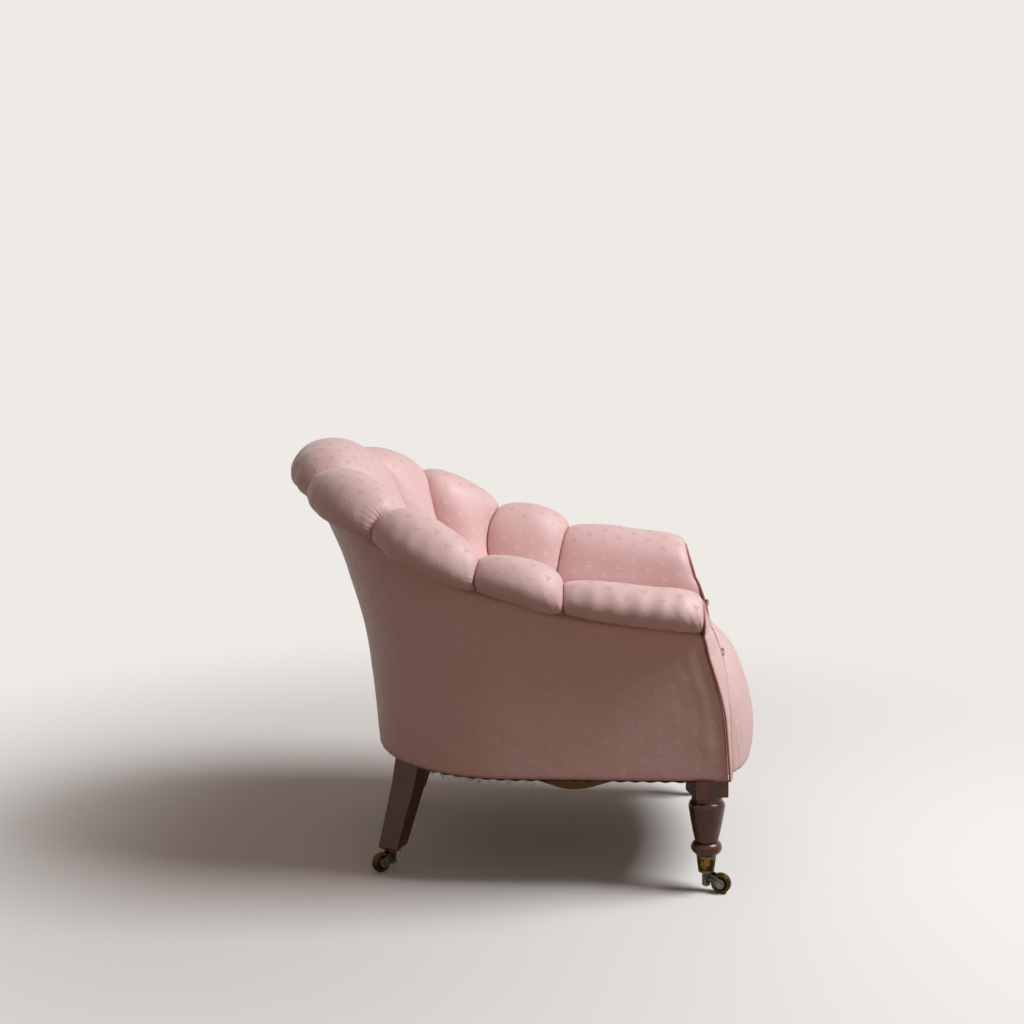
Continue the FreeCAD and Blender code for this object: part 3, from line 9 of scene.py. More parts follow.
import bpy
import numpy as np
from bpy.props import FloatProperty, FloatVectorProperty, PointerProperty
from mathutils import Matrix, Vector


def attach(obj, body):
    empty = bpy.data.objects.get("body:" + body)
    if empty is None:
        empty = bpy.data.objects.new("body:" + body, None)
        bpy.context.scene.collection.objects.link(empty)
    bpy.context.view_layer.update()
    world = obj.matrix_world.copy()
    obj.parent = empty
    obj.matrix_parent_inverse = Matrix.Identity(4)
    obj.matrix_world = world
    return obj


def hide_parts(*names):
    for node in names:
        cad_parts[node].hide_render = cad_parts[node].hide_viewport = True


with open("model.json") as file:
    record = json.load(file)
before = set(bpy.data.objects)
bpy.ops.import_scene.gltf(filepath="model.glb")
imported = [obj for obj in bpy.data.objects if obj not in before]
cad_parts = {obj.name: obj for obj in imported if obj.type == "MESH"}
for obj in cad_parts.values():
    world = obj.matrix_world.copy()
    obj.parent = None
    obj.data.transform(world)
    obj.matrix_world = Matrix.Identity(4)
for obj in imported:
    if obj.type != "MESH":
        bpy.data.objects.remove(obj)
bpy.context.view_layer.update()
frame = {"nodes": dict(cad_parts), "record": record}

bl_info = {
    "name": "Shell chair",
    "version": (1, 0, 0),
    "blender": (4, 5, 0),
    "location": "View3D > Sidebar > Shell chair",
    "description": "Dresses the frame of a shell chair in its covers, trimmings and finishes",
    "category": "Object",
}

# Rows of the shell, from the seat up the inside, over the roll and down to the tacking line outside:
# half width, back, arm half width, arm reach, squareness, height at the back, height at the arm
# front, puff, depth. All but the squareness are shares of the sizes in ShellSizes. Three of these
# columns are used by name.
ARM_HEIGHT, PUFF, DEPTH = 6, 7, 8
ROW_SHARES = (
    (0.708, 0.338, 0.688, 0.956, 2.50, -0.060, -0.260, 0.30, 1.00),
    (0.741, 0.455, 0.695, 0.962, 2.50, 0.272, 0.352, 0.71, 1.00),
    (0.780, 0.596, 0.711, 0.969, 2.60, 0.568, 0.608, 0.87, 1.00),
    (0.820, 0.713, 0.742, 0.980, 2.40, 0.822, 0.816, 0.97, 0.90),
    (0.866, 0.787, 0.819, 0.990, 2.25, 0.935, 0.952, 1.00, 0.78),
    (0.925, 0.879, 0.909, 1.000, 2.15, 0.994, 1.000, 1.00, 0.67),
    (0.974, 0.962, 0.966, 1.000, 2.10, 0.984, 0.928, 1.00, 0.55),
    (1.000, 1.000, 1.000, 1.000, 2.10, 0.924, 0.816, 0.97, 0.45),
    (0.984, 0.990, 0.980, 1.000, 2.10, 0.877, 0.736, 0.54, 0.33),
    (0.944, 0.972, 0.946, 1.000, 2.10, 0.846, 0.672, 0.14, 0.22),
)
# Seams along the U of the shell: 0 is the middle of the back, 1 the widest line, 2 the arm front.
SEAM_SHARES = (0.245, 0.589, 0.898, 1.253, 2.0)
# Height at the middle of the back and at each seam, as a share of the way up from arm to back.
DROP_SHARES = (1.0, 0.91, 0.67, 0.33, 0.15, 0.0)
# How full the channels are, from the middle one to those of the arms.
FULLNESS_SHARES = (1.0, 1.0, 1.0, 0.85, 0.62)
# Row of the shell that runs over its crest.
CREST_ROW = 5
# Rows of the outside cover from its top to the bottom edge, as shares of the way up from that edge. Their
# columns are the first seven of a row of the shell.
COVER_SHARES = (
    (1.00, 1.000, 1.00, 1.00, 2.10, 1.000, 1.000),
    (0.81, 0.660, 0.87, 0.91, 2.00, 0.800, 0.946),
    (0.63, 0.400, 0.73, 0.80, 2.10, 0.612, 0.854),
    (0.44, 0.232, 0.60, 0.50, 2.15, 0.460, 0.678),
    (0.19, 0.116, 0.33, 0.18, 2.20, 0.273, 0.427),
    (0.00, 0.000, 0.00, 0.00, 2.20, 0.000, 0.000),
)
# Seat front, level by level from its top: height, half width and depth shares.
FRONT_SHARES = (
    (1.00, 0.720, 0.02), (0.94, 0.765, 0.22), (0.80, 0.820, 0.615), (0.65, 0.855, 0.815),
    (0.54, 0.910, 0.905), (0.44, 0.975, 0.965), (0.08, 1.000, 1.00), (0.00, 0.970, 0.93),
)
# Seat top from the back to the front: place as a share of its back or front reach, crown share.
SEAT_SHARES = (
    (0.97, 0.52), (0.90, 0.70), (0.78, 0.83), (0.58, 0.92), (0.25, 0.98), (-0.35, 1.0), (-1.0, 0.78),
)
# Facing below the seat line: height share from the base, and share of the width there.
FACING_SHARES = ((0.0, 0.24), (0.24, 0.31), (0.48, 0.41), (0.70, 0.54), (0.86, 0.76), (1.0, 1.0))
# Underside cloth: share of the way in from its edge to its middle, and share of the sag there.
CLOTH_SHARES = ((0.0, 0.0), (0.13, 0.38), (0.35, 0.72), (0.68, 0.95), (1.0, 1.0))
# Loose threads: name, from where to where round the base, and how many times as far apart.
THREAD_SPANS = (
    ("loose_threads_rear_right", -0.86, -0.60, 1),
    ("loose_threads_right", -1.08, -0.78, 3),
    ("loose_threads_rear_left", 0.55, 0.72, 1.5),
)
# Points along the bowed front of the cloth underneath. The U of its outline has three times as many.
OUTLINE_POINTS = 90
# Kept between a cover and what it lies on.
CLEARANCE = 0.0004
# Width of the camera's sensor in millimetres, and the lens and picture as fitted, in pixels.
SENSOR, LENS_PIXELS, PICTURE_PIXELS = 36, 1701.5, 1024
# Lamps: name, size, place, aim and colour.
LAMPS = (
    ("key", (1.6, 1.4), (-0.35, -2.2, 2.95), (0, 0, 0.35), (0.97, 0.985, 1.0)),
    ("fill", (2.2, 1.8), (-3.0, 0.6, 1.7), (0, 0, 0.4), (0.96, 0.97, 1.0)),
)
# Finish of a piece that the record gives no slot, by a word in its name.
FINISH_WORDS = {
    "leg": "mahogany", "cup": "caster_brass", "wheel": "caster_brass", "plate": "caster_brass",
    "horn": "caster_dark", "stud": "caster_pin", "axle": "caster_pin", "screws": "caster_brass",
    "rail": "frame_beech", "post": "frame_beech", "blocks": "frame_beech", "iron": "frame_iron",
    "springs": "spring_steel", "webbing": "webbing", "hessian": "hessian", "lining": "hessian",
}


def screen(red, green, blue):
    """Colour as seen on a screen, from 0 to 255, as the linear values that Blender holds."""
    return tuple(((c / 255 + 0.055) / 1.055) ** 2.4 for c in (red, green, blue))


def length(description, default):
    return FloatProperty(description=description, default=default, unit="LENGTH", precision=4)


def share(description, default):
    return FloatProperty(description=description, default=default, subtype="FACTOR", min=0, max=4)


def number(description, default, **limits):
    return FloatProperty(description=description, default=default, **limits)


def colour(description, *default):
    tint = screen(*default)
    return FloatVectorProperty(description=description, default=tint, subtype="COLOR", min=0, max=1)


def named(group):
    """Give each property of a group its key as the name that is shown."""
    for key, made in group.__annotations__.items():
        made.keywords["name"] = key.replace("_", " ").capitalize()
    return group


@named
class ShellSizes(bpy.types.PropertyGroup):
    """Outline of the shell at its sewn seams, and how full its channels are."""
    half_width: length("Outermost line of the roll at the sides", 0.305)
    back: length("Outermost line of the roll at the back", 0.372)
    arm_half_width: length("Outermost line of the roll at the arm fronts", 0.298)
    arm_reach: length("Arm fronts, forward of the widest line", 0.293)
    back_crest: length("Height of the seams over the top of the back", 0.672)
    arm_crest: length("Height of the seams over the arm fronts", 0.473)
    seat_line: length("Height at which the channels run in behind the seat", 0.348)
    puff: length("How far a full channel stands over its seams", 0.031)
    depth: length("Stuffing under a seam", 0.018)
    seam_gap: length("Across the sewn seam between two channels", 0.0006)
    swell: length("How far the cover of a channel may swell when it is stuffed", 0.004)
    pucker: length("Depth of the puckers along the seams", 0.0030)
    pucker_pitch: length("From one pucker to the next", 0.0115)
    pleat: length("Depth of the pleats where a seam meets the tacking line", 0.0034)
    seam_lean: share("How far back a seam's foot lies, in the measure round the shell", 0.11)
    band: length("Depth of the soft bands across the arm rolls", 0.0008)


@named
class CoverSizes(bpy.types.PropertyGroup):
    """Cloth on the outside, from the tacking line to the bottom edge, and the cloth underneath."""
    base_half_width: length("Half width of the bottom edge at the widest line", 0.270)
    base_arm: length("Half width of the bottom edge at its front", 0.266)
    base_back: length("How far back the bottom edge runs", 0.249)
    base_reach: length("How far forward the bottom edge runs", 0.337)
    base_height: length("Height of the bottom edge", 0.188)
    tuck: length("How far in the cover runs under the tacking line", 0.0025)
    drop: length("How far down it starts", 0.007)
    thickness: length("Cover and the wadding under it", 0.003)
    overlap: length("How far its turned-in top runs up behind the roll", 0.012)
    turn_in: length("How far in that top leans", 0.006)
    ripple: length("Depth of the pulls beside the arm facing", 0.0003)
    ripple_reach: length("How far back from the facing they go", 0.085)
    sag: length("How far the cloth underneath hangs down", 0.024)
    droop: length("How much lower it has come loose on the right-hand side", 0.017)
    droop_x: length("Where across the chair that loose stretch hangs lowest", -0.226)
    droop_y: length("Where along the chair it hangs lowest", -0.092)
    cloth_inset: length("Edge of the cloth underneath, in from the rails", 0.005)
    cloth_top: length("Height of its tacked edge", 0.1852)
    cloth_thickness: length("Thickness of the cloth underneath", 0.0015)
    nose: length("How far its front edge is bowed", 0.050)


@named
class SeatSizes(bpy.types.PropertyGroup):
    """Crowned seat with its bowed front."""
    half_width: length("Half the width between the channels", 0.199)
    back: length("Back of the seat, behind the origin", 0.113)
    top: length("Height of the crown", 0.400)
    under: length("Height of the underside of the pad", 0.329)
    front_start: length("Where the front roll begins", 0.2956)
    front_half_width: length("Half the bow of the seat front", 0.256)
    front_centre: length("Widest line of the bow, forward of the origin", 0.320)
    front_depth: length("How far the bow stands forward of it", 0.0815)
    front_top: length("Top of the front roll", 0.384)
    front_bottom: length("Bottom edge of the front", 0.190)
    facing_clear: length("Between the seat front and the inner edge of a facing", 0.0050)
    stuffing: length("Thickness of the stuffed cover", 0.016)
    swell: length("How far the cover may swell when it is stuffed", 0.005)
    pleat: length("Depth of the pulls low on the front, beside the facings", 0.0020)


@named
class TrimSizes(bpy.types.PropertyGroup):
    """Arm facings, piping, tacks and loose threads."""
    facing_turn: share("How far the inner edge stands forward, as a share of the width", 0.33)
    facing_blend: number("How sharply that gives way to the height above it", 4.0, min=1)
    facing_seat: length("Between the end of the arm's inside and the facing's edge", 0.0010)
    facing_edge: length("Thickness along the edges", 0.003)
    facing_bulge: length("How far a wide facing swells in the middle", 0.0016)
    facing_margin: length("How far it stands over the end of the roll", 0.002)
    facing_gap: length("Between the end of the arm and the facing", 0.0009)
    facing_width: length("Width at the seat line", 0.054)
    rod_x: length("Middle of the arm scroll", 0.267)
    rod_z: length("Height of the middle of the arm scroll", 0.444)
    piping: length("Diameter of the piping cord", 0.0040)
    piping_gap: length("Between the piping and the facing", 0.0007)
    lay: length("Length of one turn of the piping's twist", 0.014)
    tack: length("Diameter of a tack head", 0.0052)
    tack_pitch: length("From one tack to the next", 0.024)
    thread: length("Diameter of a loose thread", 0.0007)
    thread_length: length("Length of a loose thread", 0.010)
    thread_pitch: length("From one loose thread to the next", 0.0019)


@named
class Colours(bpy.types.PropertyGroup):
    """Colours of the cloths, woods and metals."""
    ground: colour("Satin ground of the damask", 228, 190, 187)
    ground_worn: colour("Ground where it is faded and rubbed", 236, 206, 205)
    sprig: colour("Woven sprigs of the damask", 247, 225, 224)
    # Painted shade: sprigs where the cloth faces up take this darker colour, for the satin ground that shines
    # round them under the lamp above.
    sprig_top: colour("Woven sprigs where the cloth faces up", 196, 148, 150)
    # Painted shade: the cloth is darkened towards this colour in its seams and creases and along its tucked
    # edges, where shade falls.
    seam: colour("Soiled cloth deep in the seams", 150, 84, 74)
    piping: colour("Silk cord round the facings", 212, 140, 124)
    # Painted shade in the grooves between the strands of the cord.
    piping_dark: colour("Between its strands", 150, 78, 66)
    sprig_across: length("From one column of sprigs to the next", 0.0278)
    sprig_along: length("From one sprig to the next in a column", 0.031)
    petal: length("Length of one petal", 0.0058)
    jute: colour("Hessian and webbing", 150, 118, 80)
    jute_dark: colour("Between the threads, and where it is soiled", 62, 42, 26)
    straw: colour("Loose threads and stuffing", 176, 140, 92)
    mahogany: colour("Polished legs, where they are light", 118, 56, 24)
    mahogany_dark: colour("Grain and corners of the legs", 52, 20, 9)
    beech: colour("Frame inside", 186, 146, 100)
    brass: colour("Cups and wheels, where they are rubbed", 118, 90, 46)
    brass_dark: colour("Cups and wheels elsewhere", 40, 30, 14)
    iron: colour("Horns of the casters and the iron frame", 34, 29, 26)
    steel: colour("Springs and pins", 120, 116, 110)


@named
class StageSizes(bpy.types.PropertyGroup):
    """Camera, lamps and floor."""
    camera_x: length("Place of the camera along X", -2.9249)
    camera_y: length("Place of the camera along Y", -0.1254)
    camera_z: length("Height of the camera", 1.0306)
    yaw: number("Turn of the camera from +X towards +Y", math.radians(2.858), subtype="ANGLE")
    pitch: number("How far down the camera looks", math.radians(4.678), subtype="ANGLE")
    focal: number("Length of the lens in millimetres", SENSOR * LENS_PIXELS / PICTURE_PIXELS)
    shift: number("Vertical shift of the lens", -0.12)
    key: number("Power of the large lamp", 112, min=0)
    fill: number("Power of the lamp beside the camera", 1.2, min=0)
    sky: number("Strength of the even light from all round", 0.15, min=0)
    floor: colour("Colour of the floor", 246, 244, 241)
    boards: colour("Floor as the chair is lit by it", 118, 90, 70)
    glow: colour("Even light from all round", 255, 224, 208)
    backdrop: colour("Colour behind the chair", 238, 235, 231)


class ShellChair(bpy.types.PropertyGroup):
    """All sizes and colours of the chair."""
    shell: PointerProperty(type=ShellSizes)
    cover: PointerProperty(type=CoverSizes)
    seat: PointerProperty(type=SeatSizes)
    trim: PointerProperty(type=TrimSizes)
    colours: PointerProperty(type=Colours)
    stage: PointerProperty(type=StageSizes)


def chair():
    return bpy.context.scene.shell_chair


# Curves and sheets of points


def between(low, high, part):
    return low + (high - low) * part


def ramp(value, low, high):
    """0 at the low value, 1 at the high one and straight between; or the other way round."""
    return np.clip((value - low) / (high - low), 0, 1)


def fade(near, reach, start=0.0):
    """1 at a line and ever less away from it. With a start it rises from 0 beside the line."""
    gone = np.exp(-near / reach)
    return gone * (1 - np.exp(-near / start)) if start else gone


def table_at(table, places):
    """Rows of a table at fractional row numbers, on a smooth curve through them."""
    table = np.asarray(table, float)
    last = len(table) - 1
    low = np.clip(np.floor(places).astype(int), 0, last - 1)
    part = (places - low)[..., None]
    a, b, c, d = (table[np.clip(low + step, 0, last)] for step in (-1, 0, 1, 2))
    return b + part / 2 * (c - a + part * (2 * a - 5 * b + 4 * c - d + part * (3 * (b - c) + d - a)))


def smooth_table(places, values, at):
    """Values at places, along a curve that never overshoots the table."""
    places, values = np.asarray(places, float), np.asarray(values, float)
    steps = np.diff(places)
    rises = np.diff(values) / steps
    slopes = np.zeros(len(values))
    slopes[-1] = rises[-1]
    same = rises[:-1] * rises[1:] > 0
    slopes[1:-1] = np.where(same, 2 * rises[:-1] * rises[1:] / np.where(same, rises[:-1] + rises[1:], 1), 0)
    i = np.clip(np.searchsorted(places, at, side="right") - 1, 0, len(steps) - 1)
    t = np.clip((at - places[i]) / steps[i], 0, 1)
    bend = (t**3 - 2 * t**2 + t) * slopes[i] + (t**3 - t**2) * slopes[i + 1]
    return values[i] + (values[i + 1] - values[i]) * (3 * t**2 - 2 * t**3) + steps[i] * bend


def spline(places, values, at):
    """Natural cubic curve through values at places."""
    steps = np.diff(places)
    matrix = np.eye(len(places))
    bends = np.zeros_like(values)
    for i in range(1, len(steps)):
        matrix[i, i - 1:i + 2] = steps[i - 1], 2 * (steps[i - 1] + steps[i]), steps[i]
        bends[i] = 6 * ((values[i + 1] - values[i]) / steps[i] - (values[i] - values[i - 1]) / steps[i - 1])
    bends = np.linalg.solve(matrix, bends.reshape(len(places), -1)).reshape(values.shape)
    i = np.clip(np.searchsorted(places, at, side="right") - 1, 0, len(steps) - 1)
    shape = (-1,) + (1,) * (values.ndim - 1)
    step, right = steps[i].reshape(shape), (at - places[i]).reshape(shape)
    left = step - right
    curved = bends[i] * (left**3 / step - left * step) + bends[i + 1] * (right**3 / step - right * step)
    return (values[i] * left + values[i + 1] * right) / step + curved / 6


def u_line(row, place):
    """Points on a U-shaped row: rounded at the back, nearly straight along the arms."""
    width, back, arm, reach, squareness, back_height, arm_height = np.moveaxis(row[..., :7], -1, 0)
    along = np.abs(place)
    turn = np.minimum(along, 1) * math.pi / 2
    past = np.maximum(along - 1, 0)
    x = np.where(along <= 1, width * np.sin(turn) ** (2 / squareness), width + (arm - width) * past**2)
    y = np.where(along <= 1, back * np.maximum(np.cos(turn), 0) ** (2 / squareness), -reach * past)
    z = between(arm_height, back_height, smooth_table((0.0,) + SEAM_SHARES, DROP_SHARES, along))
    return np.stack([np.copysign(x, place), y, z], -1)


def shell_rows(rows):
    """Sizes of the shell at fractional row numbers, the last two the puff and depth there."""
    size = chair().shell
    rise = (size.back_crest - size.seat_line, size.arm_crest - size.seat_line)
    scale = (size.half_width, size.back, size.arm_half_width, size.arm_reach, 1, *rise, size.puff, size.depth)
    found = table_at(ROW_SHARES, rows) * scale
    found[..., 5:7] += size.seat_line
    return found


def cover_rows(rows):
    """Sizes of the outside cover at fractional row numbers, from its top down."""
    size = chair().cover
    top = shell_rows(np.array(float(len(ROW_SHARES) - 1)))
    low = (size.base_half_width, size.base_back, size.base_arm, size.base_reach, 0)
    low += (size.base_height, size.base_height)
    high = (top[0] - size.tuck, top[1] - size.tuck, top[2] - size.tuck, top[3], 1)
    high += (top[5] - size.drop, top[6] - size.drop)
    return between(np.array(low), np.array(high), table_at(COVER_SHARES, rows))


def run_on(rows, sizes, place):
    """How far the inside of an arm runs on past the end of its row, up to the slanted facing."""
    _, inside = facing_levels(61)
    end = np.interp(sizes[..., ARM_HEIGHT], inside[:, 2], -inside[:, 1]) - chair().trim.facing_seat
    # The foot stays back, and above the crest nothing runs on.
    tuck, foot_rows, crest_rows = 0.007, (1.3, 0.3), (5.6, 4.6)
    tucked = tuck * ramp(rows, *foot_rows)
    far = np.maximum(0, end - sizes[..., 3] - tucked) * ramp(rows, *crest_rows)
    return far * ramp(np.abs(place), *SEAM_SHARES[-2:]) ** 2


def leaning(rows, place):
    """Places round the shell, moved back towards the foot, where the seams draw together."""
    lean = chair().shell.seam_lean * ramp(rows, CREST_ROW, 0)
    return place - np.sign(place) * lean * np.sin(math.pi / 2 * np.abs(place))


def shell_out(rows, place):
    """Direction out of the stuffing, square to the shell."""
    last, end, nudge = len(ROW_SHARES) - 1, SEAM_SHARES[-1], 0.001
    side = np.clip(place, nudge - end, end - nudge)
    sizes = shell_rows(rows)
    along = u_line(sizes, side + nudge) - u_line(sizes, side - nudge)
    high, low = np.minimum(rows + 0.5, last), np.maximum(rows - 0.5, 0)
    rising = u_line(shell_rows(high), place) - u_line(shell_rows(low), place)
    return unit(np.cross(along, rising))


def unit(vectors):
    """The same directions, each of length 1."""
    return vectors / np.maximum(np.linalg.norm(vectors, axis=-1, keepdims=True), 1e-12)


def run_length(points, axis):
    """Distance gone along each line of a sheet, from its start."""
    steps = np.linalg.norm(np.diff(points, axis=axis), axis=-1)
    start = np.zeros_like(np.take(steps, [0], axis))
    return np.concatenate([start, np.cumsum(steps, axis)], axis)


def across_and_down(sheet):
    """Distances over a sheet: along each row from its start, and down the middle column."""
    u = run_length(sheet, 1)
    return u, run_length(sheet, 0)[:, sheet.shape[1] // 2][:, None] + np.zeros_like(u)


def even_rows(sheet, spacing, rows):
    """Fractional rows at which a line down the middle of a sheet has even steps."""
    gone = run_length(sheet, 0)[:, sheet.shape[1] // 2]
    count = 2 * int(gone[-1] / spacing / 2) + 1
    return np.interp(np.linspace(0, gone[-1], count), gone, rows)


def refine(sheet):
    """Twice as many points each way, on smooth curves through the given ones."""
    for axis in (0, 1):
        sheet = np.moveaxis(sheet, axis, 0)
        longer = np.concatenate([2 * sheet[:1] - sheet[1:2], sheet, 2 * sheet[-1:] - sheet[-2:-1]])
        finer = np.empty((2 * len(sheet) - 1,) + sheet.shape[1:])
        finer[::2] = sheet
        finer[1::2] = (9 * (longer[1:-2] + longer[2:-1]) - longer[:-3] - longer[3:]) / 16
        sheet = np.moveaxis(finer, 0, axis)
    return sheet


def facing_out(sheet, inside):
    """Direction square to a sheet at each point, away from what lies inside it."""
    normal = unit(np.cross(np.gradient(sheet, axis=1), np.gradient(sheet, axis=0)))
    return normal * np.sign(np.sum(normal * (sheet - inside)))


def noise(x, y, seed):
    """Smooth uneven values from -1 to 1 over a sheet, one lump to each unit."""
    size = 64
    lumps = np.random.default_rng(seed).uniform(-1, 1, (size, size))
    i, j = np.floor(x).astype(int), np.floor(y).astype(int)
    s, t = x - i, y - j
    s, t = s * s * (3 - 2 * s), t * t * (3 - 2 * t)
    low = between(lumps[i % size, j % size], lumps[(i + 1) % size, j % size], s)
    high = between(lumps[i % size, (j + 1) % size], lumps[(i + 1) % size, (j + 1) % size], s)
    return between(low, high, t)


def folds(along, pitch, seed, sharpness=2.0):
    """Depth of uneven folds, 0 to 1, one to each pitch."""
    stray, stray_folds, least, height_folds = 0.6, 2.3, 0.65, 1.7
    level = np.zeros_like(along) + seed
    wander = along / pitch + stray * noise(along / pitch / stray_folds, level, seed)
    height = least + (1 - least) * noise(along / pitch / height_folds, level + 0.5, seed + 1)
    return height * (0.5 + 0.5 * np.cos(2 * math.pi * wander)) ** sharpness


# Meshes


def piece(name, vertices, faces, material, body="root", uv=None, **values):
    """Smooth mesh object that rides on a body, with a UV map in metres and named values per point."""
    mesh = bpy.data.meshes.new(name)
    mesh.from_pydata(vertices.tolist(), [], faces if isinstance(faces, list) else faces.tolist())
    if uv is not None:
        corner = np.empty(len(mesh.loops), int)
        mesh.loops.foreach_get("vertex_index", corner)
        mesh.uv_layers.new(name="cloth").data.foreach_set("uv", np.asarray(uv)[corner].ravel())
    for key, value in values.items():
        mesh.attributes.new(key, "FLOAT", "POINT").data.foreach_set("value", np.asarray(value).ravel())
    mesh.polygons.foreach_set("use_smooth", np.ones(len(mesh.polygons), bool))
    mesh.materials.append(material)
    mesh.validate()
    made = bpy.data.objects.new(name, mesh)
    bpy.context.scene.collection.objects.link(made)
    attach(made, body)
    return made


def sheet_faces(rows, columns):
    i, j = np.meshgrid(np.arange(rows - 1), np.arange(columns - 1), indexing="ij")
    corner = (i * columns + j).ravel()
    return np.stack([corner, corner + 1, corner + columns + 1, corner + columns], 1)


def slab(name, front, back, material, uv, **values):
    """Closed piece between two sheets of points, joined round their edges."""
    rows, columns = front.shape[:2]
    front, back = front.reshape(-1, 3), back.reshape(-1, 3)
    count = rows * columns
    index = np.arange(count).reshape(rows, columns)
    edge = np.concatenate([index[0, :-1], index[:-1, -1], index[-1, :0:-1], index[:0:-1, 0]])
    following = np.roll(edge, -1)
    walls = np.stack([following, edge, edge + count, following + count], 1)
    faces = sheet_faces(rows, columns)
    first, second, _, fourth = (front[faces[:, corner]] for corner in range(4))
    inward = (back - front)[faces[:, 0]]
    inside_out = np.sum(np.cross(second - first, fourth - first) * inward) > 0
    faces = np.concatenate([faces, faces[:, ::-1] + count, walls])
    if inside_out:
        faces = faces[:, ::-1]
    points = np.concatenate([front, back])
    both = {key: np.concatenate([value.ravel(), value.ravel()]) for key, value in values.items()}
    return piece(name, points, faces, material, uv=np.concatenate([uv.reshape(-1, 2)] * 2), **both)


def relaxed(move, times=60):
    """The same moves evened out over the sheet, with none at its edges."""
    for _ in range(times):
        around = move[:-2, 1:-1] + move[2:, 1:-1] + move[1:-1, :-2] + move[1:-1, 2:]
        inner = move[1:-1, 1:-1] / 2 + around / 8
        move = np.zeros_like(move)
        move[1:-1, 1:-1] = inner
    return move


def inflate(sheet, cap, pressure=4.0, growth=0.012, frames=20):
    """Blow a sheet of cloth out from its sewn edges, as stuffing does, by at most the cap."""
    rows, columns = sheet.shape[:2]
    mesh = bpy.data.meshes.new("stuffing")
    mesh.from_pydata(sheet.reshape(-1, 3).tolist(), [], sheet_faces(rows, columns).tolist())
    cloth = bpy.data.objects.new("stuffing", mesh)
    bpy.context.scene.collection.objects.link(cloth)
    index = np.arange(rows * columns).reshape(rows, columns)
    sewn = np.concatenate([index[0], index[-1], index[1:-1, 0], index[1:-1, -1]])
    cloth.vertex_groups.new(name="sewn").add(sewn.tolist(), 1.0, "REPLACE")
    change = cloth.modifiers.new("Cloth", "CLOTH")
    change.point_cache.frame_start = 1
    change.point_cache.frame_end = frames
    settings = change.settings
    settings.quality = 4
    settings.vertex_group_mass = "sewn"
    settings.use_pressure = True
    settings.uniform_pressure_force = pressure
    settings.shrink_min = -growth
    settings.effector_weights.gravity = 0
    change.collision_settings.use_collision = False
    scene = bpy.context.scene
    for step in range(1, frames + 1):
        scene.frame_set(step)
    blown = cloth.evaluated_get(bpy.context.evaluated_depsgraph_get()).data
    points = np.empty(rows * columns * 3)
    blown.vertices.foreach_get("co", points)
    scene.frame_set(1)
    bpy.data.objects.remove(cloth)
    bpy.data.meshes.remove(mesh)
    move = points.reshape(sheet.shape) - sheet
    far, nearly_zero = np.linalg.norm(move, axis=-1, keepdims=True), 1e-9
    return sheet + relaxed(move * np.minimum(1, cap / np.maximum(far, nearly_zero)))


# Materials

# Numbers of the outputs that are used, in the order in which the nodes list them.
NORMAL, POINTINESS = 1, 7
OBJECT_PLACE = 3
ATTRIBUTE_VALUE = 2
CAMERA_RAY, GLOSSY_RAY = 0, 3


class Term:
    """A value in a material. Sums and comparisons with it add Math nodes."""

    def __init__(self, finish, socket):
        self.finish = finish
        self.socket = socket

    def math(self, operation, *terms):
        return self.finish.node("ShaderNodeMath", {"operation": operation}, dict(enumerate(terms)))[0]

    def __add__(self, other):
        return self.math("ADD", self, other)

    def __sub__(self, other):
        return self.math("SUBTRACT", self, other)

    def __rsub__(self, other):
        return self.math("SUBTRACT", other, self)

    def __mul__(self, other):
        return self.math("MULTIPLY", self, other)

    def __truediv__(self, other):
        return self.math("DIVIDE", self, other)

    def __pow__(self, other):
        return self.math("POWER", self, other)

    def least(self, other):
        return self.math("MINIMUM", self, other)

    def sine(self):
        return self.math("SINE", self)

    def step(self, low, high):
        """0 below the low value, 1 above the high one, smooth between; or the other way round."""
        part = {"From Min": low, "From Max": high}
        settings = {"interpolation_type": "SMOOTHSTEP"}
        return self.finish.node("ShaderNodeMapRange", settings, {"Value": self, **part})[0]

    __radd__ = __add__
    __rmul__ = __mul__


class Nodes:
    """A tree of shader nodes and the one way in which they are added."""

    def __init__(self, tree):
        self.tree = tree
        self.tree.nodes.clear()

    def node(self, kind, settings=None, inputs=None):
        made = self.tree.nodes.new(kind)
        for key, value in (settings or {}).items():
            setattr(made, key, value)
        for key, value in (inputs or {}).items():
            socket = made.inputs[key]
            if isinstance(value, Term):
                self.tree.links.new(value.socket, socket)
            else:
                socket.default_value = (*value, 1) if socket.type == "RGBA" else value
        return [Term(self, socket) for socket in made.outputs]


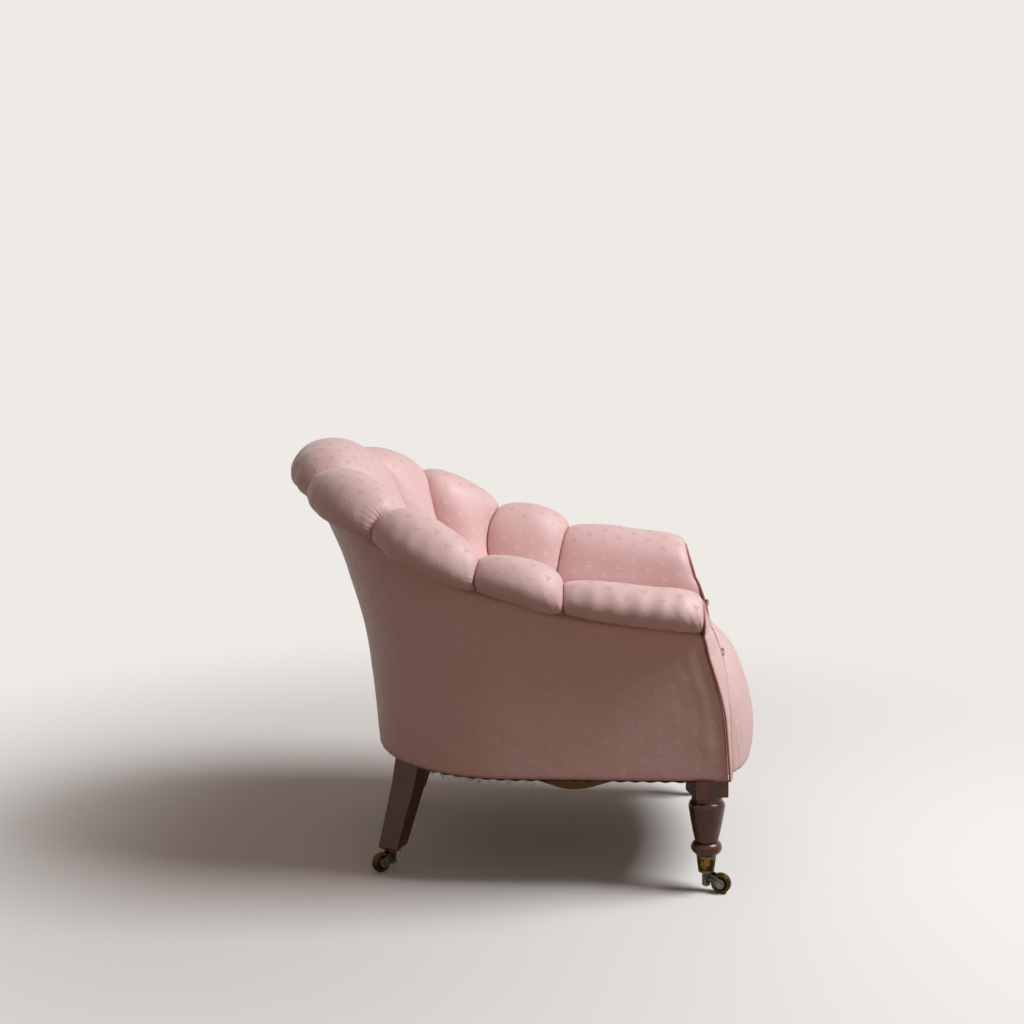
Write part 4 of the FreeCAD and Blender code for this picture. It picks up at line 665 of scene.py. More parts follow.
class Finish(Nodes):
    """A material, with short names for the nodes that it often needs."""

    def __init__(self, name):
        self.material = bpy.data.materials.new(name)
        self.material.use_nodes = True
        super().__init__(self.material.node_tree)

    def place(self, uv=None):
        """Three coordinates of each point, in metres: of the object or of its UV map."""
        if uv:
            source = self.node("ShaderNodeUVMap", {"uv_map": uv})[0]
        else:
            source = self.node("ShaderNodeTexCoord")[OBJECT_PLACE]
        return source, self.node("ShaderNodeSeparateXYZ", {}, {"Vector": source})

    def vector(self, x, y, z):
        return self.node("ShaderNodeCombineXYZ", {}, {"X": x, "Y": y, "Z": z})[0]

    def clouds(self, place, scale, detail=2.0, rough=0.5):
        inputs = {"Vector": place, "Scale": scale, "Detail": detail, "Roughness": rough}
        return self.node("ShaderNodeTexNoise", {}, inputs)[0]

    def mix(self, part, first, second):
        """Colour between two others, which the node holds in its inputs 6 and 7."""
        return self.node("ShaderNodeMix", {"data_type": "RGBA"}, {0: part, 6: first, 7: second})[2]

    def bump(self, height, distance):
        inputs = {"Height": height, "Distance": distance, "Strength": 1.0}
        return self.node("ShaderNodeBump", {}, inputs)[0]

    def surface(self, base, roughness, normal=None, **constants):
        inputs = {"Base Color": base, "Roughness": roughness}
        if normal:
            inputs["Normal"] = normal
        inputs.update({key.replace("_", " "): value for key, value in constants.items()})
        shader = self.node("ShaderNodeBsdfPrincipled", {}, inputs)[0]
        self.node("ShaderNodeOutputMaterial", {}, {"Surface": shader})
        return self.material


def petals(x, y, size, turns):
    """Mask of small pointed petals round one point, each turned by so many degrees."""
    half_long, half_wide, from_point, edges = 0.5, 0.40, 1.2, (1.2, 0.7)
    nearest = None
    for turn in turns:
        cosine, sine = math.cos(math.radians(turn)), math.sin(math.radians(turn))
        along = (x * cosine + y * sine) / (size * half_long) - from_point
        across = (y * cosine - x * sine) / (size * half_wide)
        away = (along * along + across * across) ** 0.5
        nearest = away if nearest is None else nearest.least(away)
    return nearest.step(*edges)


def damask():
    """Silk and cotton damask: satin ground with fine streaks and small staggered sprigs; the sprigs are
    painted darker where the cloth faces up, and painted shade lies in the seams.
    """
    tint = chair().colours
    finish = Finish("rose damask")
    place, (u, v, _) = finish.place("cloth")
    column = u / tint.sprig_across
    number = column.math("FLOOR", column)
    odd = number.math("MODULO", number, 2.0)
    odd = odd * odd
    x = (column - number - 0.5) * tint.sprig_across
    line = v / tint.sprig_along + odd * 0.5
    y = (line.math("FRACT", line) - 0.5) * tint.sprig_along
    sprig = petals(x, y, tint.petal, turns=(96, 212, 334))
    # Painted light: the sprigs turn darker where the cloth faces up and stay light on upright cloth, as the
    # lit satin round them would make them look.
    normal = finish.node("ShaderNodeNewGeometry")[NORMAL]
    upward = finish.node("ShaderNodeSeparateXYZ", {}, {"Vector": normal})[2]
    sprig_painted_tint = finish.mix(upward.step(0.25, 0.75), tint.sprig, tint.sprig_top)
    streaks = finish.clouds(finish.vector(u * 900, v * 45, 0.0), 1.0, 3.0)
    slubs = finish.clouds(finish.vector(u * 60, v * 700, 0.0), 1.0, 2.0)
    cloudy = finish.clouds(place, 14.0, 3.0)
    patches = finish.clouds(place, 3.5, 2.0)
    # Painted shade: each piece gives every point a value near its seams, creases and edges, and further down
    # the ground is darkened towards the seam colour by it.
    crease = finish.node("ShaderNodeAttribute", {"attribute_name": "crease"})[ATTRIBUTE_VALUE]
    rubbed = (cloudy * 0.6 + patches * 0.6).step(0.45, 0.85)
    base = finish.mix(rubbed * 0.5, tint.ground, tint.ground_worn)
    base = finish.mix(sprig * (0.28 + streaks * 0.4), base, sprig_painted_tint)
    base = finish.mix((streaks - 0.5) * 0.22 + 0.1, base, tint.ground_worn)
    base = finish.mix(crease * 0.55, base, tint.seam)
    rough = 0.47 + sprig * 0.22 + (streaks - 0.5) * 0.16 + (cloudy - 0.5) * 0.12
    height = sprig * 0.5 + streaks * 0.35 + slubs * 0.25 + cloudy * 1.6
    normal = finish.bump(height, 0.00035)
    return finish.surface(base, rough, normal, Sheen_Weight=0.25, Sheen_Roughness=0.45,
                          Specular_IOR_Level=0.42)


def silk_cord():
    """Twisted cord of the piping: painted shade between its strands, and a little rubbed on top."""
    tint = chair().colours
    finish = Finish("silk cord")
    place, _ = finish.place()
    depth = finish.node("ShaderNodeAttribute", {"attribute_name": "strand"})[ATTRIBUTE_VALUE]
    fibres = finish.clouds(place, 900.0, 2.0)
    wear = finish.clouds(place, 35.0, 3.0)
    # Painted shade in the grooves between the strands.
    base = finish.mix(depth, tint.piping_dark, tint.piping)
    base = finish.mix(wear.step(0.5, 0.8) * 0.6, base, tint.ground)
    rough = 0.55 + (fibres - 0.5) * 0.2
    return finish.surface(base, rough, finish.bump(fibres, 0.0003), Sheen_Weight=0.2)


def woven(name, light, dark, pitch, bands=0.0):
    """Plain coarse weave, with threads across and along and an optional darker stripe."""
    finish = Finish(name)
    place, (x, y, z) = finish.place()
    wobble = finish.clouds(place, 60.0, 2.0)
    turn = 2 * math.pi / pitch
    warp = ((x + z * 0.3) * turn + wobble * 3).sine()
    weft = ((y + z * 0.7) * turn + wobble * 3).sine()
    over = (warp * weft) * 0.5 + 0.5
    soil = finish.clouds(place, 9.0, 4.0)
    base = finish.mix(over * 0.7 + soil * 0.3, dark, light)
    base = finish.mix(soil.step(0.45, 0.75) * 0.6, base, dark)
    if bands:
        stripe = ((x + y) * (2 * math.pi / bands)).sine().step(0.8, 0.95)
        base = finish.mix(stripe * 0.7, base, dark)
    return finish.surface(base, 0.86 + (wobble - 0.5) * 0.1, finish.bump(over + wobble, 0.0006))


def fibre(name, light, dark):
    """Curled hair and wool of the stuffing."""
    finish = Finish(name)
    place, _ = finish.place()
    curls = finish.clouds(place, 160.0, 5.0, 0.7)
    lumps = finish.clouds(place, 22.0, 3.0)
    base = finish.mix(curls * 0.6 + lumps * 0.4, dark, light)
    return finish.surface(base, 0.9 + (lumps - 0.5) * 0.1, finish.bump(curls + lumps, 0.002))


def wood(name, light, dark, gloss):
    """Straight-grained wood with its grain upright: figure, pores and worn polish."""
    finish = Finish(name)
    place, (x, y, z) = finish.place()
    drift = finish.clouds(finish.vector(x * 6, y * 6, z * 1.2), 1.0, 2.0)
    rings = ((x * 1.0 + y * 0.45 + drift * 0.06) * 620).sine() * 0.5 + 0.5
    figure = finish.clouds(finish.vector(x * 110, y * 110, z * 8), 1.0, 4.0)
    pores = finish.clouds(finish.vector(x * 1500, y * 1500, z * 50), 1.0, 2.0).step(0.66, 0.78)
    shade = rings * 0.18 + figure * 0.45 + drift * 0.45
    edge = finish.node("ShaderNodeNewGeometry")[POINTINESS].step(0.5, 0.58)
    base = finish.mix(shade.step(0.2, 1.0), dark, light)
    base = finish.mix(pores * 0.35, base, dark)
    base = finish.mix(edge * 0.5, base, light)
    wear = finish.clouds(place, 30.0, 3.0)
    rough = between(0.62, 0.28, gloss) + pores * 0.12 + (wear - 0.5) * 0.2
    normal = finish.bump(figure * 0.25 - pores * 0.4 + wear * 0.4, 0.0002)
    return finish.surface(base, rough, normal, Coat_Weight=0.15 * gloss, Coat_Roughness=0.18,
                          Specular_IOR_Level=0.38)


def metal(name, light, dark, rubbed, roughness, metallic=1.0):
    """Metal that is bright where hands and floor rub it and tarnished elsewhere."""
    finish = Finish(name)
    place, _ = finish.place()
    blotches = finish.clouds(place, 75.0, 4.0)
    pits = finish.clouds(place, 420.0, 3.0)
    edge = finish.node("ShaderNodeNewGeometry")[POINTINESS]
    bright = (edge.step(0.495, 0.56) + blotches.step(0.62 - rubbed * 0.3, 0.8 - rubbed * 0.2)).least(1.0)
    base = finish.mix(bright, dark, light)
    rough = roughness + (1 - bright) * 0.22 + (pits - 0.5) * 0.2
    return finish.surface(base, rough, finish.bump(pits + blotches, 0.0002), Metallic=metallic)


FINISHES = {}


def finishes():
    """All materials, made once, by the names of the record's slots and of the small pieces."""
    tint = chair().colours
    if not FINISHES:
        FINISHES.update(
            damask=damask(),
            piping=silk_cord(),
            hessian=woven("hessian cloth", tint.jute, tint.jute_dark, 0.0022),
            webbing=woven("jute webbing", tint.jute, tint.jute_dark, 0.0030, 0.09),
            stuffing=fibre("hair stuffing", tint.straw, tint.jute_dark),
            frame_beech=wood("plain beech", tint.beech, tint.jute, 0.15),
            mahogany=wood("polished mahogany", tint.mahogany, tint.mahogany_dark, 1.0),
            frame_iron=metal("black iron", tint.steel, tint.iron, 0.1, 0.5),
            spring_steel=metal("spring wire", tint.steel, tint.iron, 0.8, 0.32),
            caster_brass=metal("aged brass", tint.brass, tint.brass_dark, 0.30, 0.30),
            caster_dark=metal("dark horn", tint.steel, tint.iron, 0.1, 0.4, 0.6),
            caster_pin=metal("steel pin", tint.steel, tint.brass_dark, 0.6, 0.3),
            tack=metal("tack iron", tint.steel, tint.iron, 0.2, 0.45),
            thread=fibre("loose jute", tint.straw, tint.jute))
    return FINISHES


# Geometry Nodes


class Network:
    """A Geometry Nodes tree, its named inputs and the one way in which its nodes are added."""

    def __init__(self, name, **sizes):
        self.tree = bpy.data.node_groups.new(name, "GeometryNodeTree")
        faces = self.tree.interface
        faces.new_socket("Geometry", in_out="OUTPUT", socket_type="NodeSocketGeometry")
        faces.new_socket("Geometry", in_out="INPUT", socket_type="NodeSocketGeometry")
        self.sizes = sizes
        self.keys = {}
        for key in sizes:
            self.keys[key] = faces.new_socket(key, in_out="INPUT", socket_type="NodeSocketFloat").identifier
        self.start = self.tree.nodes.new("NodeGroupInput")
        self.line = self.node("GeometryNodeMeshToCurve", Mesh=self.start.outputs[0])[0]

    def size(self, key):
        return self.start.outputs[key]

    def node(self, kind, settings=None, **inputs):
        """Add a node. Its inputs go by their names, or as n0, n1 and so on by their numbers."""
        made = self.tree.nodes.new(kind)
        for key, value in (settings or {}).items():
            setattr(made, key, value)
        for key, value in inputs.items():
            numbered = key[0] == "n" and key[1:].isdigit()
            socket = made.inputs[int(key[1:]) if numbered else key.replace("_", " ")]
            if isinstance(value, bpy.types.NodeSocket):
                self.tree.links.new(value, socket)
            else:
                socket.default_value = value
        return made.outputs

    def math(self, operation, first, second=0.0, third=0.0):
        return self.node("ShaderNodeMath", {"operation": operation}, n0=first, n1=second, n2=third)[0]

    def spaced(self, step):
        """The line that the tree is given, with a point at each step."""
        return self.node("GeometryNodeResampleCurve", {"mode": "LENGTH"}, Curve=self.line, Length=step)[0]

    def tube(self, line, ring):
        return self.node("GeometryNodeCurveToMesh", Curve=line, Profile_Curve=ring, Fill_Caps=True)[0]

    def vary(self, low, high, seed):
        """A random number from low to high for each point."""
        return self.node("FunctionNodeRandomValue", {"data_type": "FLOAT"}, n2=low, n3=high, Seed=seed)[1]

    def finish(self, geometry, material):
        """End in plain geometry with its material."""
        solid = self.node("GeometryNodeRealizeInstances", Geometry=geometry)[0]
        solid = self.node("GeometryNodeSetShadeSmooth", Geometry=solid)[0]
        solid = self.node("GeometryNodeSetMaterial", Geometry=solid, Material=material)[0]
        end = self.tree.nodes.new("NodeGroupOutput")
        self.tree.links.new(solid, end.inputs[0])

    def grow(self, name, points, edges, body="root"):
        """Run the tree on a line of points and keep the result as a plain mesh."""
        mesh = bpy.data.meshes.new(name)
        mesh.from_pydata(np.asarray(points).tolist(), edges, [])
        seed = bpy.data.objects.new(name, mesh)
        bpy.context.scene.collection.objects.link(seed)
        change = seed.modifiers.new("nodes", "NODES")
        change.node_group = self.tree
        for key, value in self.sizes.items():
            change[self.keys[key]] = value
        grown = bpy.data.meshes.new_from_object(seed.evaluated_get(bpy.context.evaluated_depsgraph_get()))
        seed.modifiers.remove(change)
        seed.data = grown
        bpy.data.meshes.remove(mesh)
        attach(seed, body)
        return seed


def cord_tree(sizes):
    """Twisted cord of three strands along a line."""
    net = Network("twisted cord", radius=sizes.piping / 2, lay=sizes.lay)
    step, sides, least = 0.0012, 18, 0.78
    line = net.spaced(step)
    gone = net.node("GeometryNodeSplineParameter")["Length"]
    turn = net.math("MULTIPLY", net.math("DIVIDE", gone, net.size("lay")), 2 * math.pi)
    line = net.node("GeometryNodeSetCurveTilt", Curve=line, Tilt=turn)[0]
    ring = net.node("GeometryNodeCurvePrimitiveCircle", Resolution=sides, Radius=1.0)[0]
    angle = net.math("MULTIPLY", net.node("GeometryNodeSplineParameter")["Factor"], 2 * math.pi)
    strand = net.math("ABSOLUTE", net.math("COSINE", net.math("MULTIPLY", angle, 1.5)))
    wide = net.math("MULTIPLY", net.math("MULTIPLY_ADD", strand, 1 - least, least), net.size("radius"))
    place = net.node("GeometryNodeInputPosition")[0]
    place = net.node("ShaderNodeVectorMath", {"operation": "SCALE"}, Vector=place, Scale=wide)[0]
    ring = net.node("GeometryNodeStoreNamedAttribute", {"data_type": "FLOAT", "domain": "POINT"},
                    Geometry=ring, Name="strand", Value=strand)[0]
    ring = net.node("GeometryNodeSetPosition", Geometry=ring, Position=place)[0]
    net.finish(net.tube(line, ring), finishes()["piping"])
    return net


def tack_tree(sizes):
    """Domed tack heads at even steps along a line, pointing down."""
    net = Network("tacks", head=sizes.tack, pitch=sizes.tack_pitch)
    head = net.node("GeometryNodeMeshUVSphere", Segments=10, Rings=6, Radius=0.5)[0]
    head = net.node("GeometryNodeTransform", Geometry=head, Scale=(1.0, 1.0, 0.42))[0]
    scale = net.math("MULTIPLY", net.size("head"), net.vary(0.88, 1.1, seed=3))
    heads = net.node("GeometryNodeInstanceOnPoints", Points=net.spaced(net.size("pitch")), Instance=head,
                     Scale=scale)[0]
    net.finish(heads, finishes()["tack"])
    return net


def fray_tree(sizes, pitch):
    """Short curled threads hanging from a line, each turned and stretched unevenly."""
    net = Network("frayed threads", length=sizes.thread_length, thick=sizes.thread / 2, pitch=pitch)
    thread = net.node("GeometryNodeCurveQuadraticBezier", Resolution=5, Start=(0.0, 0.0, 0.0),
                      Middle=(0.1, 0.25, -0.7), End=(0.55, 0.1, -0.95))[0]
    low, high = (-0.9, -0.7, 0.0), (0.9, 0.7, 2 * math.pi)
    turn = net.node("FunctionNodeRandomValue", {"data_type": "FLOAT_VECTOR"}, n0=low, n1=high, Seed=11)[0]
    scale = net.math("MULTIPLY", net.size("length"), net.vary(0.25, 1.3, seed=5))
    threads = net.node("GeometryNodeInstanceOnPoints", Points=net.spaced(net.size("pitch")), Instance=thread,
                       Rotation=turn, Scale=scale)[0]
    threads = net.node("GeometryNodeRealizeInstances", Geometry=threads)[0]
    ring = net.node("GeometryNodeCurvePrimitiveCircle", Resolution=4, Radius=net.size("thick"))[0]
    net.finish(net.tube(threads, ring), finishes()["thread"])
    return net


# Pieces


def channel_grid(start, end, fullness):
    """Row and place across of each point of a channel, evenly spaced, and its width at the crest."""
    spacing, samples, samples_across, coarseness = 0.0046, 200, 41, 0.65
    rows = np.linspace(0, len(ROW_SHARES) - 1, samples)
    middle = np.full(samples, (start + end) / 2)
    sizes = shell_rows(rows)
    line = u_line(sizes, middle)
    line += shell_out(rows, middle) * sizes[:, PUFF, None] * fullness
    rows = even_rows(line[:, None], spacing, rows)
    crest = shell_rows(np.full(samples_across, float(CREST_ROW)))
    widest = run_length(u_line(crest, np.linspace(start, end, samples_across))[None], 1).max()
    columns = 2 * int(coarseness * widest / spacing) + 1
    across = np.sin(np.linspace(-1, 1, columns) * math.pi / 2)
    row, side = np.meshgrid(rows, across, indexing="ij")
    return row, side, widest


def channel_sheets(start, end, fullness, to_facing):
    """Front and back of a channel, the row of each of its points, and its width at the crest."""
    size = chair().shell
    # Powers of the curve over a channel and of the narrow strips beside its seams, and the share of
    # its height that an arm keeps at its facing.
    flatness, rounding, strip, kept = 2.2, 0.48, 8, 0.2
    middle, half = (start + end) / 2, (end - start) / 2
    row, side, widest = channel_grid(start, end, fullness)
    sizes = shell_rows(row)
    place = leaning(row, middle + half * side)
    base = u_line(sizes, place)
    out = shell_out(row, place)
    seam = unit(base[:, -1:] - base[:, :1]) * size.seam_gap / 2
    base = base - seam * np.sign(side)[..., None] * np.abs(side[..., None]) ** strip
    ahead = run_on(row, sizes, place)
    base[..., 1] -= ahead
    height = np.maximum(0, 1 - np.abs(side) ** flatness) ** rounding
    if to_facing:
        full = kept + (1 - kept) * np.maximum(0, 1 - np.abs(side) ** strip) ** 0.5
        height = np.where(np.abs(middle + half * side) > abs(middle), full, height)
    front = base + out * (sizes[..., PUFF] * fullness * height)[..., None]
    back = base - out * sizes[..., DEPTH, None]
    back[..., 1] += ahead
    front = inflate(front, size.swell)
    joined = refine(np.concatenate([front, back, row[..., None]], -1))
    return joined[..., :3], joined[..., 3:6], joined[..., 6], widest


def gathers(row, v, near, phase, forward, middle, seed):
    """Puckers along the seams of a channel, deeper over the crest and towards the tacks."""
    size = chair().shell
    # Share of their depth low down, behind a channel's middle, and on the arms.
    low_share, rear_share, arm_share, arms_from = 0.22, 0.4, 0.45, 0.5
    depth = size.pucker * between(low_share, 1.0, ramp(row, 3.6, 6.0))
    depth = depth * np.where(forward, 1.0, rear_share) * (1.0 if abs(middle) < arms_from else arm_share)
    uneven, lump = 0.4, 0.04
    depth = depth * between(uneven, 1.0, ramp(noise(v / lump + phase, v * 0, seed + 2), -0.5, 0.5))
    reach, start = between(0.006, 0.012, ramp(row, 4, 6)), 0.002
    return depth * folds(v + phase, size.pucker_pitch, seed) * fade(near, reach, start)


def pleats(row, u, foot, near, phase, seed):
    """Pleats that fan out from the corners of a channel and run in from the tacking line."""
    size = chair().shell
    corner, fan_radius, fan_pitch, fan_reach, fan_start, fan_rows = 0.004, 0.035, 0.0085, 0.030, 0.006, 4
    tack_share, tack_pitch, tack_reach, tack_start = 0.5, 0.016, 0.016, 0.003
    angle = np.arctan2(foot, near + corner)
    fan = folds(angle * fan_radius + phase, fan_pitch, seed + 3, 1.5)
    fan = fan * fade(np.hypot(foot, near), fan_reach, fan_start) * (row > fan_rows)
    tacked = folds(u + phase, tack_pitch, seed + 5, 1.6) * fade(foot, tack_reach, tack_start)
    return size.pleat * (fan + tack_share * tacked)


def unevenness(row, u, v, foot, near, widest, seed):
    """Soft bands across the arm rolls, and slight unevenness of the stuffing everywhere."""
    band_pitch, banded_width, band_rows, band_margin = 0.036, (0.14, 0.20), (5.2, 6.4), 0.03
    lump_depth, lump_margin = 0.0012, 0.02
    band = np.sin(2 * math.pi * (u / band_pitch + 0.35 * noise(u / 0.09, v / 0.2, seed + 7)))
    soft = ramp(near, 0, band_margin) * ramp(foot, 0, band_margin)
    bands = chair().shell.band * ramp(widest, *banded_width) * band * ramp(row, *band_rows) * soft
    lumps = noise(u / 0.045 + seed, v / 0.060, seed + 9)
    return bands + lump_depth * lumps * ramp(near, 0, lump_margin) * ramp(foot, 0, lump_margin)


def channel(name, start, end, fullness, seed):
    """One stuffed channel: blown out between its seams, puckered along them and pleated at its end."""
    middle = (start + end) / 2
    to_facing = max(abs(start), abs(end)) == SEAM_SHARES[-1]
    front, back, row, widest = channel_sheets(start, end, fullness, to_facing)
    u, v = across_and_down(front)
    width = u[:, -1:]
    near = np.minimum(u, width - u)
    foot = np.maximum(v[-1, 0] - v, 0)
    left, other_side = u < width / 2, 7.3
    phase = np.where(left, 0.0, other_side) + seed
    forward = left if middle < 0 else ~left
    puckers = gathers(row, v, near, phase, forward, middle, seed)
    if to_facing:
        puckers = puckers * ~forward
    move = unevenness(row, u, v, foot, near, widest, seed) - puckers - pleats(row, u, foot, near, phase, seed)
    front = front + facing_out(front, back) * move[..., None]
    # Painted shade along the seams and at the foot by the tacking line.
    seam_shade_reach, foot_shade_reach, foot_share = 0.0035, 0.006, 0.6
    crease = fade(near, seam_shade_reach) + foot_share * fade(foot, foot_shade_reach)
    made = slab(name, front, back, finishes()["damask"], np.stack([u - width / 2, v], -1),
                crease=np.clip(crease, 0, 1))
    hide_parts(name)
    return made


def seat_sheet():
    """Sheet of points over the seat, from behind its back edge over the front to the bottom edge."""
    size = chair().seat
    columns, levels, roundness = 93, 97, 2.5
    # How far the sides fall below the crown, how far on the last row of the top, and how steeply.
    fall, last_fall, steepness = 0.45, 0.10, 3.9
    across = np.linspace(-1, 1, columns)
    rows = []
    for place, crown in SEAT_SHARES:
        y = place * (size.back if place > 0 else size.front_start)
        half = size.half_width * (1 - max(0, place) ** roundness) ** (1 / roundness)
        fallen = (fall if place > -1 else last_fall) * np.abs(across) ** steepness
        height = (size.top - size.under) * crown * (1 - fallen)
        rows.append(np.stack([half * across, np.full_like(across, y), size.under + height], -1))
    turn = across * math.pi / 2
    for high, wide, deep in FRONT_SHARES:
        x = size.front_half_width * wide * np.sin(turn)
        y = -size.front_centre - size.front_depth * deep * np.cos(turn)
        z = between(size.front_bottom, size.front_top, high)
        rows.append(np.stack([x, y, np.full_like(x, z)], -1))
    rows = np.array(rows)
    gone = run_length(rows, 0).mean(1)
    at = np.linspace(0, gone[-1], levels)
    sheet = spline(gone, rows, at)
    for column in range(columns):
        sheet[:, column, 2] = smooth_table(gone, rows[:, column, 2], at)
    # It ends beside the cord on the inner edge of each facing.
    facing_points, least, most, facings_start, facings_full = 61, 0.7, 1.25, 0.25, 0.28
    _, inside = facing_levels(facing_points)
    beside = np.interp(sheet[..., 2], inside[:, 2], inside[:, 0]) - size.facing_clear
    edge = np.abs(sheet[:, :1, 0])
    ahead = ramp(-sheet[:, :1, 1], facings_start, facings_full)
    sheet[..., 0] *= between(1.0, np.clip(beside[:, :1] / edge, least, most), ahead)
    return sheet


def seat_cover():
    """Stuffed seat, its cover drawn over the crowned top and down over the bowed front."""
    size = chair().seat
    inside, held = np.array([0, -0.12, 0.22]), 0.6
    sheet = seat_sheet()
    sheet = sheet - facing_out(sheet, inside) * size.swell * held
    sheet = refine(inflate(sheet, size.swell))
    out = facing_out(sheet, inside)
    u, v = across_and_down(sheet)
    u = u - u[:, u.shape[1] // 2][:, None]
    edge = u[:, -1:] - np.abs(u)
    foot = v[-1, 0] - v
    # Pulls low on the front beside the facings, gathers at the tacks, and slight unevenness.
    pull_pitch, pull_reach, pull_heights = 0.013, 0.045, (0.30, 0.22)
    pulls = folds(sheet[..., 0] * 0.8 + foot * 0.12, pull_pitch, 21, 1.4)
    move = -size.pleat * pulls * ramp(sheet[..., 2], *pull_heights) * fade(edge, pull_reach)
    tack_depth, tack_pitch, tack_reach, lump_depth = 0.0016, 0.019, 0.020, 0.0014
    move -= tack_depth * folds(u, tack_pitch, 25, 1.6) * fade(foot, tack_reach)
    move += lump_depth * noise(u / 0.07, v / 0.08, 31)
    sheet = sheet + out * move[..., None]
    back = sheet - out * size.stuffing
    back[..., 2] = np.maximum(back[..., 2], size.front_bottom)
    # Painted shade along the sides of the seat beside the facings, and at its bottom edge.
    edge_shade_reach, foot_shade_reach, foot_share = 0.005, 0.004, 0.5
    crease = fade(np.maximum(edge, 0), edge_shade_reach) + foot_share * fade(foot, foot_shade_reach)
    made = slab("seat_cover", sheet, back, finishes()["damask"], np.stack([u, -v], -1),
                crease=np.clip(crease, 0, 1))
    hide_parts("seat_pad", "seat_front_roll")
    return made


def outside_cover():
    """Cloth stretched over the outside, pulled a little beside the facings and along its bottom edge."""
    size = chair().cover
    spacing, samples, samples_round = 0.005, 200, 800
    last = len(COVER_SHARES) - 1
    end = SEAM_SHARES[-1]
    rows = np.linspace(0, last, samples)
    rows = even_rows(u_line(cover_rows(rows), np.full(samples, 1.0))[:, None], spacing, rows)
    fine = np.linspace(-end, end, samples_round)
    gone = run_length(u_line(cover_rows(np.full(samples_round, last / 2)), fine)[None], 1)[0]
    places = np.interp(np.linspace(0, gone[-1], 2 * int(gone[-1] / spacing / 2) + 1), gone, fine)
    row, place = np.meshgrid(rows, places, indexing="ij")
    sheet = u_line(cover_rows(row), place)
    lean = unit(sheet[0] * (1, 1, 0)) * size.turn_in
    hidden = [sheet[0] + part * (np.array([0, 0, size.overlap]) - lean) for part in (1.0, 0.5)]
    sheet = np.concatenate([np.array(hidden), sheet])
    inside = sheet * (0.9, 0.9, 1.0)
    out = facing_out(sheet, inside)
    u = run_length(sheet, 1)
    total = u[:, -1:]
    centre = u[:, u.shape[1] // 2][:, None]
    v = run_length(sheet, 0)
    v = v - v[len(hidden)]
    edge = np.minimum(u, total - u)
    foot = v[-1:] - v
    # Pulls beside the facings, and one soft ridge along each.
    pull_pitch, relief, ridge, ridge_width, least = 0.024, 0.0011, 0.030, 0.010, 0.35
    pulls = np.sin(2 * math.pi * (edge / pull_pitch + 0.5 * noise(edge / 0.05, v / 0.12, 41)))
    pulls = pulls * fade(edge, size.ripple_reach)
    move = size.ripple * pulls * between(least, 1.0, ramp(foot, 0, 0.15))
    move += relief * np.exp(-((edge - ridge) / ridge_width) ** 2) * ramp(foot, 0, 0.05)
    # Slight unevenness along the lines of strain, and gathers at the tacks along the bottom edge.
    tight = noise((u - 0.4 * v) / 0.11, (v + 0.3 * u) / 0.16, 43)
    move += relief * tight + 0.0005 * noise(u / 0.035, v / 0.03, 47)
    tack_pitch, tack_reach, sewn, nailed = 0.024, 0.012, 0.004, 0.01
    move -= relief * folds(u, tack_pitch, 49, 1.3) * fade(foot, tack_reach)
    move *= ramp(edge, 0, sewn) * ramp(v, 0, nailed)
    sheet = sheet + out * move[..., None] - out * CLEARANCE
    back = sheet - out * (size.thickness * 0.5)
    # Painted shade along the bottom edge and under the roll at the top, fading out within a few millimetres.
    soiled = 0.004
    crease = 0.5 * fade(foot, soiled) + 0.6 * fade(np.maximum(v, 0), soiled)
    # The weave hangs straight, so its sprigs keep to the lines of the middle row.
    across = (u - centre)[len(u) // 2] + np.zeros_like(u)
    made = slab("outside_cover", sheet, back, finishes()["damask"], np.stack([across, foot], -1),
                crease=np.clip(crease, 0, 1))
    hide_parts("outside_cover_left", "outside_cover_right")
    area = float(np.sum(patch_areas(sheet)))
    return made


def patch_areas(sheet):
    """Area of each four-cornered patch of a sheet."""
    one = np.cross(sheet[1:, :-1] - sheet[:-1, :-1], sheet[:-1, 1:] - sheet[:-1, :-1])
    two = np.cross(sheet[1:, :-1] - sheet[1:, 1:], sheet[:-1, 1:] - sheet[1:, 1:])
    return (np.linalg.norm(one, axis=-1) + np.linalg.norm(two, axis=-1)) / 2


